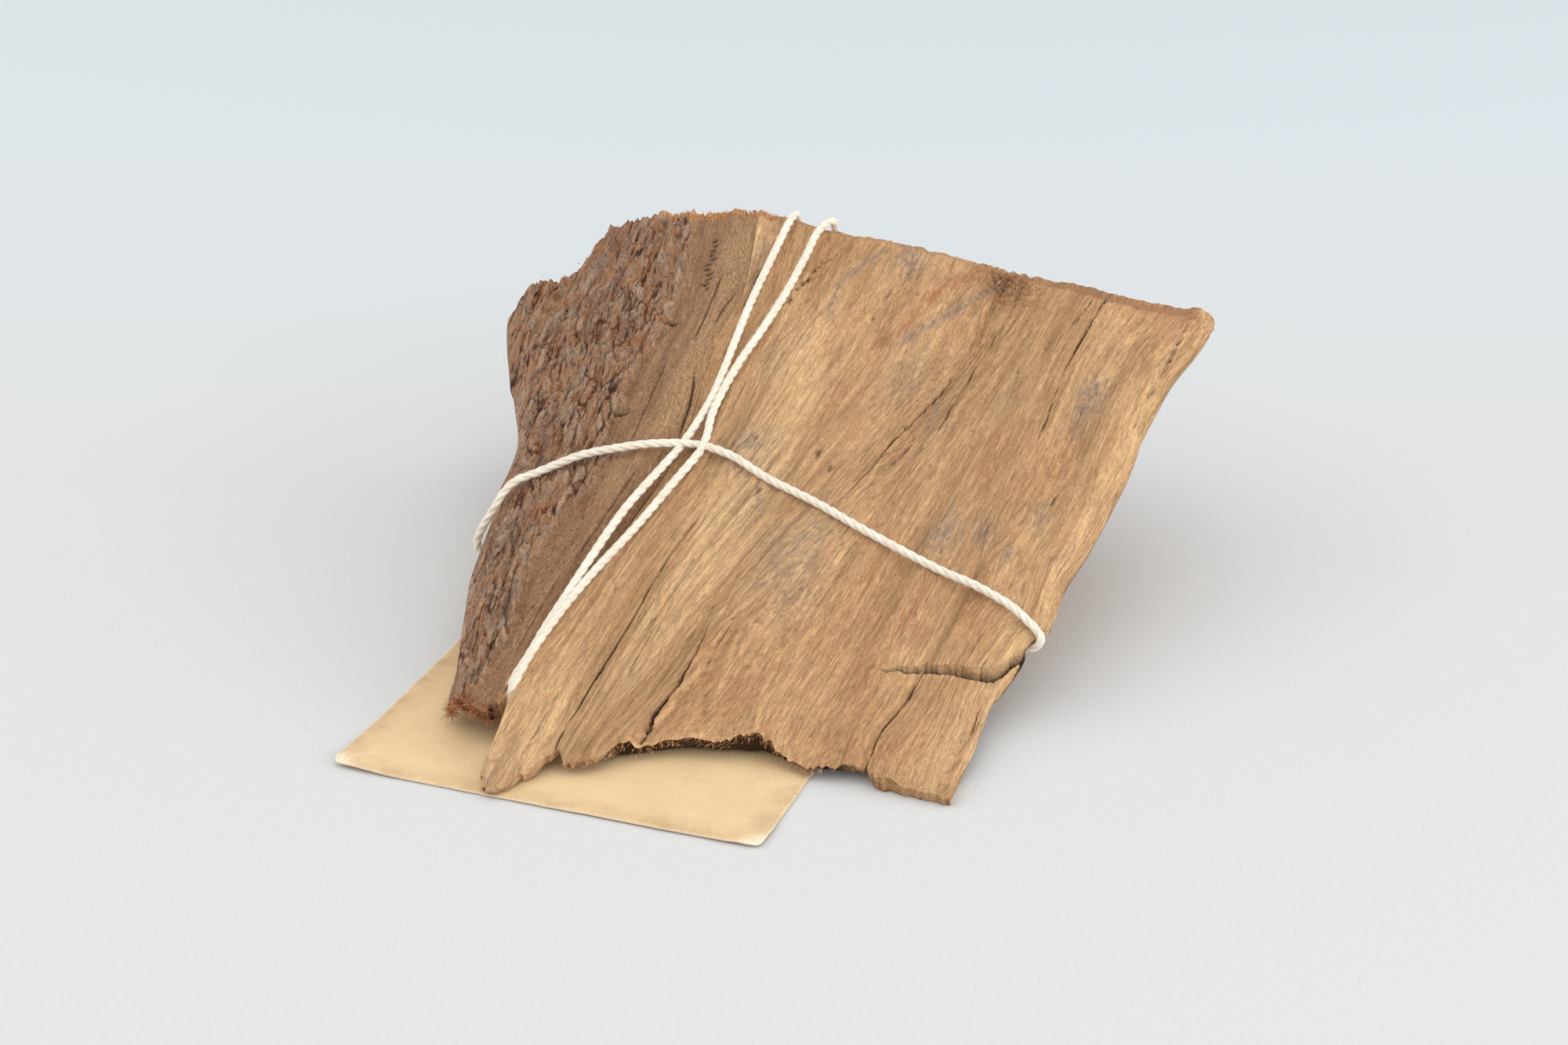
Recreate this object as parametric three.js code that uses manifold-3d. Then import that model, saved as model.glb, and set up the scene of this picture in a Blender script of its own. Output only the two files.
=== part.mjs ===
// A split wood chip with its bark, tied with cotton string and lying on a plain card.
// Millimetres, +Z up. +X is to the right and +Y to the back, seen from the side where the
// split face comes down to the table. The origin is under the middle of the whole thing.
// The chip is laid out in grain places: u runs across the grain to the right, w runs along
// the grain to the back, and z is the height above the table.
import * as THREE from 'three';
import Module from 'manifold-3d';

const wasm = await Module();
wasm.setup();

// Driving dimensions
const GRAIN_TURN = THREE.MathUtils.degToRad(20);
const MIDDLE_X = 4.1;
const MIDDLE_Y = 64.4;
const CARD_WIDTH = 76;
const CARD_LENGTH = 127;
const CARD_THICK = 0.5;
const CARD_CORNER = 1.6;
const CARD_LEFT = -74.2;
const CARD_FRONT = -16;
const STRING_THICK = 1.6;
const TOUCH_GAP = 0.3;
const WOOD_COLOR = 0xb48a5c;
const STRING_COLOR = 0xe9e2d2;
const CARD_COLOR = 0xd9b884;
const FACE_SLOPE = 0.45;
const FRONT_THICK = 2.2;
const LEAST_THICK = 1.5;
const EDGE_BEVEL = 2.6;
const EDGE_BEVEL_WIDTH = 5.2;
const CUT_RELIEF = 1.0;

// Outlines of the chip, as [w, u] pairs for edges along the grain and [u, w] across it
const BARK_EDGE = [[4, -62.8], [10, -63.8], [21, -67.4], [31, -70.9], [46, -73.9], [53, -75.8], [64, -76.8],
  [78, -83.7], [90, -90.5], [108, -99.5], [114, -101], [119, -101]];
const RIDGE = [[-16, -50.6], [20, -50.3], [44, -49], [64, -47.8], [90, -47.4], [118, -48.2]];
const CRACK_A = [[-6, -38.6], [13, -37.3], [24, -36.1], [30, -35.6], [60, -31], [90, -28], [120, -25]];
const CRACK_B = [[-1, -29], [13, -24.2], [29, -20.4], [60, -9.4], [80, -3.5], [92, 0], [120, 1.6]];
const CRACK_F = [[6, -12], [30, -8], [60, -3.4], [71, -1], [82, 1.4], [97, 3.5], [120, 6.2]];
const CRACK_C = [[6, 11], [16, 11], [21, 12.2], [30, 13.8], [60, 16.6], [85, 18.3], [103, 19.2], [120, 21.6]];
const RIGHT_EDGE = [[5, 26.5], [13, 25.9], [22, 26.3], [34, 27.4], [46, 29.9], [66, 32.9], [86, 35.3],
  [94, 35.6], [105, 37], [111, 38.8], [119, 42.2], [124, 43]];
const FRONT_EDGE = [[-63.8, 6.6], [-62.3, 3.8], [-60.7, 1.7], [-57, 0], [-54, -1.2], [-53.2, 0.4],
  [-52.8, 4.6], [-52.4, 7], [-49.9, 7], [-49.4, 3], [-49.1, -4], [-48.4, -12], [-46.6, -15.6],
  [-44.4, -16.6], [-42.5, -14.8], [-40.4, -9.6], [-38.5, -4.6], [-36.2, -6.8], [-31.1, -4], [-29.2, -0.2],
  [-21.7, 3.8], [-14.4, 6.2], [-7.7, 8.9], [-4.5, 8], [1.5, 7.5], [8.2, 8.4], [10.9, 9.4], [11.7, 7.8],
  [20, 6.8], [25, 6.4], [26.6, 7.8]];
const BACK_EDGE = [[-101.4, 111], [-101, 115.6], [-98, 117.8], [-88, 116], [-86, 117.4], [-83, 122.8],
  [-79, 124.6], [-71, 125], [-62, 122], [-49, 119.6], [-27.6, 120.8], [-5.6, 122.6], [19.3, 124.8],
  [37, 125.6], [41, 126], [43, 124.6]];
const ROUGH_BARK_EDGE = [[5, -57], [14, -55.4], [27, -57.8], [39, -56.6], [47, -53.6], [55, -54.5],
  [66, -57.6], [83, -57.7], [92, -56], [117, -61.9]];

// How many cells the surface is woven from
const ZONES = [
  { from: BARK_EDGE, to: RIDGE, cells: 20 },
  { from: RIDGE, to: CRACK_A, cells: 6 },
  { from: CRACK_A, to: CRACK_B, cells: 7 },
  { from: CRACK_B, to: CRACK_F, cells: 5 },
  { from: CRACK_F, to: CRACK_C, cells: 7 },
  { from: CRACK_C, to: RIGHT_EDGE, cells: 9 },
];
const ROWS = 34;
const ROW_CROWDING = 0.05;
const WALL_ROWS = 5;

// Cracks along the grain: the line, where along w they open and close, and their depth
const CRACKS = [
  { line: CRACK_A, from: -12, to: 36, depth: 3.0 },
  { line: CRACK_B, from: -6, to: 33, depth: 2.4 },
  { line: CRACK_B, from: 62, to: 97, depth: 1.6 },
  { line: CRACK_F, from: 70, to: 116, depth: 1.7 },
  { line: CRACK_C, from: 4, to: 32, depth: 2.4 },
  { line: CRACK_C, from: 84, to: 124, depth: 1.8 },
];
const CRACK_HALF_WIDTH = 0.9;

// The split across the grain near the right edge, as [u, w] points from its mouth inwards
const SPLIT = [[33, 47], [28.3, 43], [24.4, 37.4], [20, 34], [11.4, 31], [8, 28.6]];
const SPLIT_MOUTH = 1.7;
const SPLIT_END = 0.25;

// Smooth curve through points [x, y], level past both ends
function follow(points, x) {
  const last = points.length - 1;
  if (x <= points[0][0]) return points[0][1];
  if (x >= points[last][0]) return points[last][1];
  let k = 0;
  while (x > points[k + 1][0]) k += 1;
  const slope = (n) => {
    const a = points[Math.max(n - 1, 0)];
    const b = points[Math.min(n + 1, last)];
    return (b[1] - a[1]) / (b[0] - a[0]);
  };
  const run = points[k + 1][0] - points[k][0];
  const t = (x - points[k][0]) / run;
  const t2 = t * t;
  const t3 = t2 * t;
  return (2 * t3 - 3 * t2 + 1) * points[k][1] + (t3 - 2 * t2 + t) * run * slope(k)
    + (3 * t2 - 2 * t3) * points[k + 1][1] + (t3 - t2) * run * slope(k + 1);
}

// Straight lines through points [x, y], for edges with sharp corners
function alongLines(points, x) {
  const last = points.length - 1;
  if (x <= points[0][0]) return points[0][1];
  if (x >= points[last][0]) return points[last][1];
  let k = 0;
  while (x > points[k + 1][0]) k += 1;
  const t = (x - points[k][0]) / (points[k + 1][0] - points[k][0]);
  return THREE.MathUtils.lerp(points[k][1], points[k + 1][1], t);
}

function smooth(edge0, edge1, x) {
  const t = THREE.MathUtils.clamp((x - edge0) / (edge1 - edge0), 0, 1);
  return t * t * (3 - 2 * t);
}

// Repeatable value noise between -1 and 1
function hash(ix, iy) {
  const n = Math.sin(ix * 127.1 + iy * 311.7) * 43758.5453;
  return 2 * (n - Math.floor(n)) - 1;
}

function noise(x, y) {
  const ix = Math.floor(x);
  const iy = Math.floor(y);
  const fx = smooth(0, 1, x - ix);
  const fy = smooth(0, 1, y - iy);
  const low = THREE.MathUtils.lerp(hash(ix, iy), hash(ix + 1, iy), fx);
  const high = THREE.MathUtils.lerp(hash(ix, iy + 1), hash(ix + 1, iy + 1), fx);
  return THREE.MathUtils.lerp(low, high, fy);
}

// From grain places to the part's own frame
function place(u, w, z) {
  const c = Math.cos(GRAIN_TURN);
  const s = Math.sin(GRAIN_TURN);
  return new THREE.Vector3(u * c + w * s - MIDDLE_X, w * c - u * s - MIDDLE_Y, z);
}

// Height of the flat the split face lies in, which eases off to a thin edge at the front
function facePlane(u, w) {
  const rise = FACE_SLOPE * (w * Math.cos(GRAIN_TURN) - u * Math.sin(GRAIN_TURN));
  return Math.hypot(Math.max(rise, 0), FRONT_THICK);
}

// Bands of relief: the height of their swells, how wide and long they are, and their start
const FINE_RIBS = { height: 0.45, wide: 3.1, long: 70, start: [0, 9] };
const BROAD_RIBS = { height: 0.5, wide: 9, long: 45, start: [40, 0] };
const BARK_PLATES = { height: 1.3, wide: 4.6, long: 9.5, start: [0, 0] };
const BARK_SWELLS = { height: 1.1, wide: 8, long: 19, start: [20, 5] };
const INNER_BARK = { height: 0.45, wide: 2.6, long: 26, start: [0, 3] };
const UNDER_RIBS = { height: 0.35, wide: 4, long: 14, start: [7, 0] };
const UNDER_SWELLS = { height: 0.45, wide: 9, long: 30, start: [0, 2] };

function relief(band, u, w) {
  return band.height * noise(u / band.wide + band.start[0], w / band.long + band.start[1]);
}

// The open split face, with ribs along the grain and forms of its own. Each pair of numbers
// is where a form begins and where it is whole.
const RIB_LEAN = 0.09;
const RIBS_RISE = [-16, 6];
const BEVEL_RISE = [12, 30];
const CURL = { height: 0.7, along: 11, across: 9, rise: [60, 95], left: [-34, -12], right: [2, 22] };
const TORN_LAYER = { depth: 1.4, lip: 0.6, floor: [3, 15], end: [16, 34] };
const SHED_LAYER = { depth: 1.3, side: [8, 14], floor: [2, 24] };

function splitLine(u) {
  return alongLines([...SPLIT].reverse(), u);
}

function woodTop(u, w) {
  const lean = u - RIB_LEAN * w;
  const ribs = relief(FINE_RIBS, lean, w) + relief(BROAD_RIBS, lean, w);
  let z = facePlane(u, w) + ribs * smooth(...RIBS_RISE, w);
  const curly = smooth(...CURL.rise, w) * smooth(...CURL.left, u) * (1 - smooth(...CURL.right, u));
  z += CURL.height * Math.sin(w / CURL.along + u / CURL.across) * curly;
  const pastTear = u - follow(CRACK_B, w);
  const torn = smooth(-TORN_LAYER.lip, TORN_LAYER.lip, pastTear) * (1 - smooth(...TORN_LAYER.end, w));
  z -= TORN_LAYER.depth * torn * (1 - smooth(...TORN_LAYER.floor, pastTear));
  const fromEdge = Math.max(follow(RIGHT_EDGE, w) - u, 0);
  z -= EDGE_BEVEL * (1 - smooth(0, EDGE_BEVEL_WIDTH, fromEdge)) * smooth(...BEVEL_RISE, w);
  const below = splitLine(u) - w;
  const shed = smooth(...SHED_LAYER.side, u) * (1 - smooth(...SHED_LAYER.floor, below));
  return below > 0 ? z - SHED_LAYER.depth * shed : z;
}

// The bark rolls away to the left of the ridge, rough outside and smoother by the ridge
const BARK_FALL = 0.2;
const BARK_ROLL = 0.0042;
const BARK_EDGE_ROLL = 3.2;
const BARK_EDGE_WIDTH = 5;
const BARK_LEAN = 0.14;
const ROUGH_BARK_THICK = 1.0;
const ROUGH_BARK_LIP = 1.6;
const ROUGH_BARK_RISE = [0, 14];

function barkTop(u, w) {
  const ridge = follow(RIDGE, w);
  const left = follow(BARK_EDGE, w);
  const away = ridge - u;
  let z = woodTop(ridge, w) - BARK_FALL * away - BARK_ROLL * away * away;
  const pastRough = u - follow(ROUGH_BARK_EDGE, w);
  const rough = smooth(ROUGH_BARK_LIP, -ROUGH_BARK_LIP, pastRough) * smooth(...ROUGH_BARK_RISE, w);
  const lean = u + BARK_LEAN * w;
  z += rough * (ROUGH_BARK_THICK + relief(BARK_PLATES, lean, w) + relief(BARK_SWELLS, lean, w));
  z += (1 - rough) * relief(INNER_BARK, lean, w);
  z -= BARK_EDGE_ROLL * (1 - smooth(0, BARK_EDGE_WIDTH, u - left));
  return z;
}

function crackDepth(line, w) {
  let depth = 0;
  for (const crack of CRACKS) {
    if (crack.line !== line || w < crack.from || w > crack.to) continue;
    const t = (w - crack.from) / (crack.to - crack.from);
    depth = crack.depth * Math.sqrt(Math.sin(Math.PI * t));
  }
  return depth;
}

function nearCracks(u, w) {
  let deepest = 0;
  for (const line of [CRACK_A, CRACK_B, CRACK_F, CRACK_C]) {
    const off = Math.abs(u - follow(line, w)) / CRACK_HALF_WIDTH;
    if (off < 1) deepest = Math.max(deepest, (1 - off) * crackDepth(line, w));
  }
  return deepest;
}

// The back edge is worn, more so in the wider cut strip right of the middle
const BACK_WEAR = { depth: 1.1, width: 2.4 };
const CUT_STRIP = { depth: 1.3, width: 3.4, rise: [-12, 14] };
const FRONT_WEAR = { depth: 0.5, width: 1.6 };

function topHeight(u, w) {
  const front = alongLines(FRONT_EDGE, u);
  const back = alongLines(BACK_EDGE, u);
  let z = u < follow(RIDGE, w) ? barkTop(u, w) : woodTop(u, w) - nearCracks(u, w);
  const cut = smooth(...CUT_STRIP.rise, u);
  const wearWidth = BACK_WEAR.width + CUT_STRIP.width * cut;
  z -= (BACK_WEAR.depth + CUT_STRIP.depth * cut) * (1 - smooth(0, wearWidth, back - w));
  z -= FRONT_WEAR.depth * (1 - smooth(0, FRONT_WEAR.width, w - front));
  return z;
}

// The underside: a heel at the back, a hollow in front of it for the string, and flanks
// that rise to the bark edge on the left and to the thin edge on the right
const HEEL_RISE = [75, 84];
const HEEL_HEIGHT = CARD_THICK + TOUCH_GAP;
const HOLLOW_HEIGHT = 4.3;
const STRING_LANE = -43;
const STRING_LANE_SIDE = [8, 5];
const LANE_DEPTH = 0.85;
const BARK_FLANK = { thick: 2.2, slope: 1.25 };
const RIGHT_FLANK = { thick: 2.4, slope: 0.62 };
const LOW_TIP = { right: [-41, -45], left: [-53, -50], back: [-11, -3] };
const LOW_CORNER = { side: [8, 14], back: [12, 26] };

function underHeight(u, w) {
  const left = follow(BARK_EDGE, w);
  const right = follow(RIGHT_EDGE, w);
  const barkFlank = barkTop(left, w) - BARK_FLANK.thick - BARK_FLANK.slope * (u - left);
  const rightFlank = woodTop(right, w) - RIGHT_FLANK.thick - RIGHT_FLANK.slope * (right - u);
  const lane = smooth(...STRING_LANE_SIDE, Math.abs(u - STRING_LANE));
  const heel = smooth(...HEEL_RISE, w) * (1 - LANE_DEPTH * lane);
  const swells = relief(UNDER_RIBS, u, w) + relief(UNDER_SWELLS, u, w);
  const rough = UNDER_RIBS.height + UNDER_SWELLS.height + swells;
  const floor = HEEL_HEIGHT + (HOLLOW_HEIGHT - HEEL_HEIGHT + rough) * (1 - heel);
  let z = Math.max(barkFlank, rightFlank, floor);
  const tip = smooth(...LOW_TIP.right, u) * smooth(...LOW_TIP.left, u) * (1 - smooth(...LOW_TIP.back, w));
  z = THREE.MathUtils.lerp(z, HEEL_HEIGHT, tip);
  const corner = smooth(...LOW_CORNER.side, u) * (1 - smooth(...LOW_CORNER.back, w));
  z = THREE.MathUtils.lerp(z, 0, corner);
  const most = topHeight(u, w) - LEAST_THICK;
  return Math.max(Math.min(z, most), HEEL_HEIGHT * (1 - corner));
}

// Lines along the grain that the surface is woven from, each as a function of w. Lines lie
// close on both sides of a crack and even between the cracks.
function grainLine(zone, index, k) {
  const first = index === 0;
  const last = index === ZONES.length - 1;
  return (w) => {
    const a = follow(zone.from, w);
    const b = follow(zone.to, w);
    if (k === 0) return a;
    if (k === zone.cells) return b;
    const low = first ? a : a + CRACK_HALF_WIDTH;
    const high = last ? b : b - CRACK_HALF_WIDTH;
    const lowCell = first ? 0 : 1;
    const highCell = last ? zone.cells : zone.cells - 1;
    return THREE.MathUtils.lerp(low, high, (k - lowCell) / (highCell - lowCell));
  };
}

function grainLines() {
  const lines = [];
  ZONES.forEach((zone, index) => {
    const count = index === ZONES.length - 1 ? zone.cells + 1 : zone.cells;
    for (let k = 0; k < count; k += 1) lines.push(grainLine(zone, index, k));
  });
  return lines;
}

// Where a grain line meets the front or back edge of the chip
const MEETING_STEPS = 12;
const FRONT_START = 5;
const BACK_START = 118;

function meet(line, edge, start) {
  let w = start;
  for (let n = 0; n < MEETING_STEPS; n += 1) w = 0.5 * (w + alongLines(edge, line(w)));
  return w;
}

// How far along the grain a row lies, from 0 to 1, closer together at both ends
function rowSpacing(i) {
  const t = i / ROWS;
  return t - ROW_CROWDING * Math.sin(2 * Math.PI * t);
}

// How far the under sheet keeps inside the upper one
const UNDER_INSET = 0.6;
const BACK_UNDERCUT = 0.25;
const CUT_DENTS = { wide: 9, high: 8 };
const SMALL_CUT_DENTS = { share: 0.5, wide: 4, high: 5 };
const DENT_MIDDLE = 1.1;
const TALL_WALL = [4, 20];

function chipBody() {
  const lines = grainLines();
  const columns = lines.length;
  const points = [];
  const index = new Map();
  const put = (key, p) => {
    index.set(key, points.length / 3);
    points.push(p.x, p.y, p.z);
  };
  const ends = lines.map((line) => {
    const front = meet(line, FRONT_EDGE, FRONT_START);
    const back = meet(line, BACK_EDGE, BACK_START);
    const tall = topHeight(line(back), back) - underHeight(line(back), back);
    return { front, back, backUnder: back - BACK_UNDERCUT * Math.max(tall, 0) };
  });
  const insets = lines.map((line, j) => {
    if (j === 0) return UNDER_INSET;
    return j === columns - 1 ? -UNDER_INSET : 0;
  });
  for (let i = 0; i <= ROWS; i += 1) {
    for (let j = 0; j < columns; j += 1) {
      const t = rowSpacing(i);
      const { front, back, backUnder } = ends[j];
      const w = THREE.MathUtils.lerp(front, back, t);
      const u = lines[j](w);
      put(`t${i},${j}`, place(u, w, topHeight(u, w)));
      const wUnder = THREE.MathUtils.lerp(front + UNDER_INSET, backUnder, t);
      const uUnder = lines[j](wUnder) + insets[j];
      put(`b${i},${j}`, place(uUnder, wUnder, underHeight(uUnder, wUnder)));
    }
  }
  const faces = [];
  const quad = (a, b, c, d) => {
    const [p, q, r, s] = [a, b, c, d].map((key) => index.get(key));
    faces.push(p, q, r, p, r, s);
  };
  for (let i = 0; i < ROWS; i += 1) {
    for (let j = 0; j < columns - 1; j += 1) {
      quad(`t${i},${j}`, `t${i},${j + 1}`, `t${i + 1},${j + 1}`, `t${i + 1},${j}`);
      quad(`b${i},${j}`, `b${i + 1},${j}`, `b${i + 1},${j + 1}`, `b${i},${j + 1}`);
    }
  }
  // The walls between the two sheets, with a few rows so that the cut end has some form
  const rim = [];
  for (let j = 0; j < columns - 1; j += 1) rim.push([0, j]);
  for (let i = 0; i < ROWS; i += 1) rim.push([i, columns - 1]);
  for (let j = columns - 1; j > 0; j -= 1) rim.push([ROWS, j]);
  for (let i = ROWS; i > 0; i -= 1) rim.push([i, 0]);
  const inward = new THREE.Vector3(-Math.sin(GRAIN_TURN), -Math.cos(GRAIN_TURN), 0);
  const at = (key) => new THREE.Vector3().fromArray(points, index.get(key) * 3);
  rim.forEach(([i, j]) => {
    const top = at(`t${i},${j}`);
    const under = at(`b${i},${j}`);
    const tall = i === ROWS ? smooth(...TALL_WALL, top.z - under.z) : 0;
    for (let k = 1; k < WALL_ROWS; k += 1) {
      const p = top.clone().lerp(under, k / WALL_ROWS);
      const broad = noise(p.x / CUT_DENTS.wide, p.z / CUT_DENTS.high);
      const small = SMALL_CUT_DENTS.share * noise(p.x / SMALL_CUT_DENTS.wide, p.z / SMALL_CUT_DENTS.high);
      put(`w${k},${i},${j}`, p.addScaledVector(inward, CUT_RELIEF * tall * (DENT_MIDDLE + broad + small)));
    }
  });
  const wallKey = (k, [i, j]) => {
    if (k === 0) return `t${i},${j}`;
    if (k === WALL_ROWS) return `b${i},${j}`;
    return `w${k},${i},${j}`;
  };
  rim.forEach((here, n) => {
    const next = rim[(n + 1) % rim.length];
    for (let k = 0; k < WALL_ROWS; k += 1) {
      quad(wallKey(k, next), wallKey(k, here), wallKey(k + 1, here), wallKey(k + 1, next));
    }
  });
  return solid(points, faces);
}

// A closed solid from points and triangles
function solid(points, faces) {
  const made = new wasm.Manifold(new wasm.Mesh({
    numProp: 3,
    vertProperties: new Float32Array(points),
    triVerts: new Uint32Array(faces),
  }));
  return made.volume() < 0 ? solid(points, faces.reverse()) : made;
}

// The thin blade that opens the split across the grain, right through the thin edge and
// only a little way into the wood at its inner end
const BLADE_REACH = 16;
const BLADE_END_REACH = 3;
const BLADE_TOP = 6;
const BLADE_SLANT = 0.5;

function splitBlade() {
  const points = [];
  const faces = [];
  const count = SPLIT.length;
  SPLIT.forEach(([u, w], n) => {
    const inwards = n / (count - 1);
    const half = THREE.MathUtils.lerp(SPLIT_MOUTH, SPLIT_END, inwards) / 2;
    const face = facePlane(u, w);
    const low = face - THREE.MathUtils.lerp(BLADE_REACH, BLADE_END_REACH, smooth(0, 1, inwards));
    const high = face + BLADE_TOP;
    for (const [side, height] of [[-half, low], [half, low], [half, high], [-half, high]]) {
      const p = place(u - BLADE_SLANT * side, w + side, height);
      points.push(p.x, p.y, p.z);
    }
  });
  for (let n = 0; n < count - 1; n += 1) {
    for (let k = 0; k < 4; k += 1) {
      const a = 4 * n + k;
      const b = 4 * n + ((k + 1) % 4);
      faces.push(a, b, b + 4, a, b + 4, a + 4);
    }
  }
  const e = 4 * (count - 1);
  faces.push(0, 2, 1, 0, 3, 2, e, e + 1, e + 2, e, e + 2, e + 3);
  return solid(points, faces);
}

// String: routes as [u, w, height], where the height is a number for the middle of the
// string, or OVER where it lies on the chip
const OVER = 'over';
const LOW = 1.75;
const HIGH = 2.5;
const LONG_LEFT = [
  [-41.1, 116.4, OVER], [-41, 106, OVER], [-40.9, 94, OVER], [-40.4, 84, OVER], [-40, 76.6, OVER],
  [-39.9, 70, OVER], [-40.6, 63, OVER], [-41.4, 58, OVER], [-42.6, 51.9, OVER], [-45, 41.9, OVER],
  [-46.9, 30.2, OVER], [-48.5, 19.1, OVER], [-50.1, 10.4, OVER], [-51.1, 7, 12.4], [-51.3, 5, 8.6],
  [-51.3, 4.6, 4.2], [-50.8, 7, HIGH - 0.4], [-49, 15, HIGH], [-46.5, 30, HIGH], [-45.4, 48, HIGH],
  [-45, 66, HIGH], [-44.6, 84, LOW + 0.2], [-44.4, 100, LOW + 0.1], [-44.2, 107, 2.4],
  [-43.2, 110.8, 9], [-41.4, 114.6, 24], [-40.3, 117.8, 34], [-40.6, 119.6, 43], [-41.2, 121.2, 50],
  [-41.3, 121.9, 54.6], [-41.2, 120.2, 57.3],
];
const LONG_RIGHT = [
  [-33.9, 117, OVER], [-34.5, 108, OVER], [-35.1, 100, OVER], [-36.5, 90, OVER], [-38, 80, OVER],
  [-38.5, 73, OVER], [-38.4, 67, OVER], [-37.5, 62, OVER], [-37.4, 58.6, OVER], [-39.4, 51, OVER],
  [-42.4, 39.2, OVER], [-45.3, 27.8, OVER], [-47.1, 18.7, OVER], [-48.8, 11, OVER], [-50.8, 6.5, 12.2],
  [-51, 4, 8.2], [-51, 3.5, 3.8], [-50, 6, HIGH - 0.4], [-47.6, 15, HIGH], [-44.6, 30, HIGH],
  [-43.2, 48, HIGH], [-42.4, 66, HIGH], [-41.8, 84, LOW + 0.2], [-41.2, 100, LOW + 0.1],
  [-40.8, 107, 2.4], [-40, 110.8, 9], [-39, 114.8, 24], [-38.5, 118, 34], [-36.8, 119.9, 43],
  [-34.8, 121.7, 50], [-33.9, 122.4, 54], [-33.8, 120.7, 56.6],
];
const ACROSS = [
  [28, 45.9, OVER], [23.5, 46, OVER], [17.5, 46.8, OVER], [11.4, 48.3, OVER], [-4.3, 52.2, OVER],
  [-14.1, 54.9, OVER], [-24, 57.3, OVER], [-32, 59.2, OVER], [-38.6, 59.8, OVER], [-45.8, 55.9, OVER],
  [-52.5, 53.6, OVER], [-58.3, 52.3, OVER], [-65.1, 49.6, OVER], [-69.4, 46.4, OVER], [-72.2, 43.6, OVER],
  [-75.1, 42.6, 14.8], [-73.4, 43.8, 9.8], [-68.4, 46, 4], [-61, 48.6, LOW], [-50, 50.6, LOW],
  [-38, 51.4, LOW], [-20, 50.6, LOW], [-2, 48.8, LOW], [11, 47.2, LOW], [19, 46.4, LOW], [24.6, 45.9, 3.4],
  [28.4, 45.6, 6.2], [31.2, 45.5, 9], [31.1, 45.6, 12.2],
];

// The knot on the cut end, a turn round both long strands, and its two short tails
const KNOT_TURN = [[-42, 117.6, 36], [-41.2, 119.7, 35.2], [-39.4, 120.4, 34.4], [-37.6, 119.9, 33.6],
  [-36.8, 118, 33.4], [-37.8, 116.6, 34.4], [-39.4, 116.2, 35.2], [-41, 116.6, 35.8]];
const KNOT_LOCK = [[-39.4, 119.9, 37.2], [-37.9, 119.4, 35.4], [-38.6, 118.8, 32.8], [-39.8, 118.6, 31.8],
  [-41, 118.6, 33], [-41, 119.3, 35.8]];
const TAIL_LEFT = [[-41, 119.4, 34.4], [-43.4, 118.9, 32], [-45.6, 117.4, 28.6], [-46.8, 116.4, 24.6],
  [-46.6, 115.9, 20.8]];
const TAIL_RIGHT = [[-37.8, 119.4, 34], [-35.2, 118.8, 32], [-33.2, 117.6, 29.4], [-32, 117, 26],
  [-31.8, 116.6, 23.4]];

// The string can't dip into narrow hollows, so it rests on the highest point near it
const REST_LENGTH = 2;

function stringRoute(route, closed = true) {
  const half = STRING_THICK / 2;
  const spots = route.map(([u, w, height]) => {
    if (height !== OVER) return place(u, w, height);
    let high = -Infinity;
    for (const du of [-half, 0, half]) {
      for (const dw of [-REST_LENGTH, 0, REST_LENGTH]) high = Math.max(high, topHeight(u + du, w + dw));
    }
    return place(u, w, high + half + TOUCH_GAP);
  });
  return new THREE.CatmullRomCurve3(spots, closed, 'centripetal');
}

// Round string along a curve, either a closed loop or a length with two cut ends
const STRING_SIDES = 8;
const STRING_STEP = 4.8;
const KNOT_STEP = 2.1;

function stringAlong(curve, step) {
  const steps = Math.round(curve.getLength() / step);
  const rings = curve.getSpacedPoints(steps);
  if (curve.closed) rings.pop();
  const frames = curve.computeFrenetFrames(steps, curve.closed);
  const points = [];
  const faces = [];
  rings.forEach((middle, n) => {
    for (let k = 0; k < STRING_SIDES; k += 1) {
      const turn = (2 * Math.PI * k) / STRING_SIDES;
      const p = middle.clone()
        .addScaledVector(frames.normals[n], Math.cos(turn) * STRING_THICK / 2)
        .addScaledVector(frames.binormals[n], Math.sin(turn) * STRING_THICK / 2);
      points.push(p.x, p.y, p.z);
    }
  });
  for (let n = 0; n < steps; n += 1) {
    for (let k = 0; k < STRING_SIDES; k += 1) {
      const a = n * STRING_SIDES + k;
      const b = n * STRING_SIDES + ((k + 1) % STRING_SIDES);
      const c = ((n + 1) % rings.length) * STRING_SIDES + ((k + 1) % STRING_SIDES);
      const d = ((n + 1) % rings.length) * STRING_SIDES + k;
      faces.push(a, b, c, a, c, d);
    }
  }
  if (!curve.closed) {
    const last = steps * STRING_SIDES;
    for (let k = 1; k < STRING_SIDES - 1; k += 1) {
      faces.push(0, k + 1, k, last, last + k, last + k + 1);
    }
  }
  return solid(points, faces);
}

function tiedString() {
  const loops = [LONG_LEFT, LONG_RIGHT, ACROSS].map((route) => stringAlong(stringRoute(route), STRING_STEP));
  const turns = [KNOT_TURN, KNOT_LOCK].map((route) => stringAlong(stringRoute(route), KNOT_STEP));
  const tails = [TAIL_LEFT, TAIL_RIGHT].map((route) => stringAlong(stringRoute(route, false), KNOT_STEP));
  return [...loops, ...turns, ...tails].reduce((all, piece) => all.add(piece));
}

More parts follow.
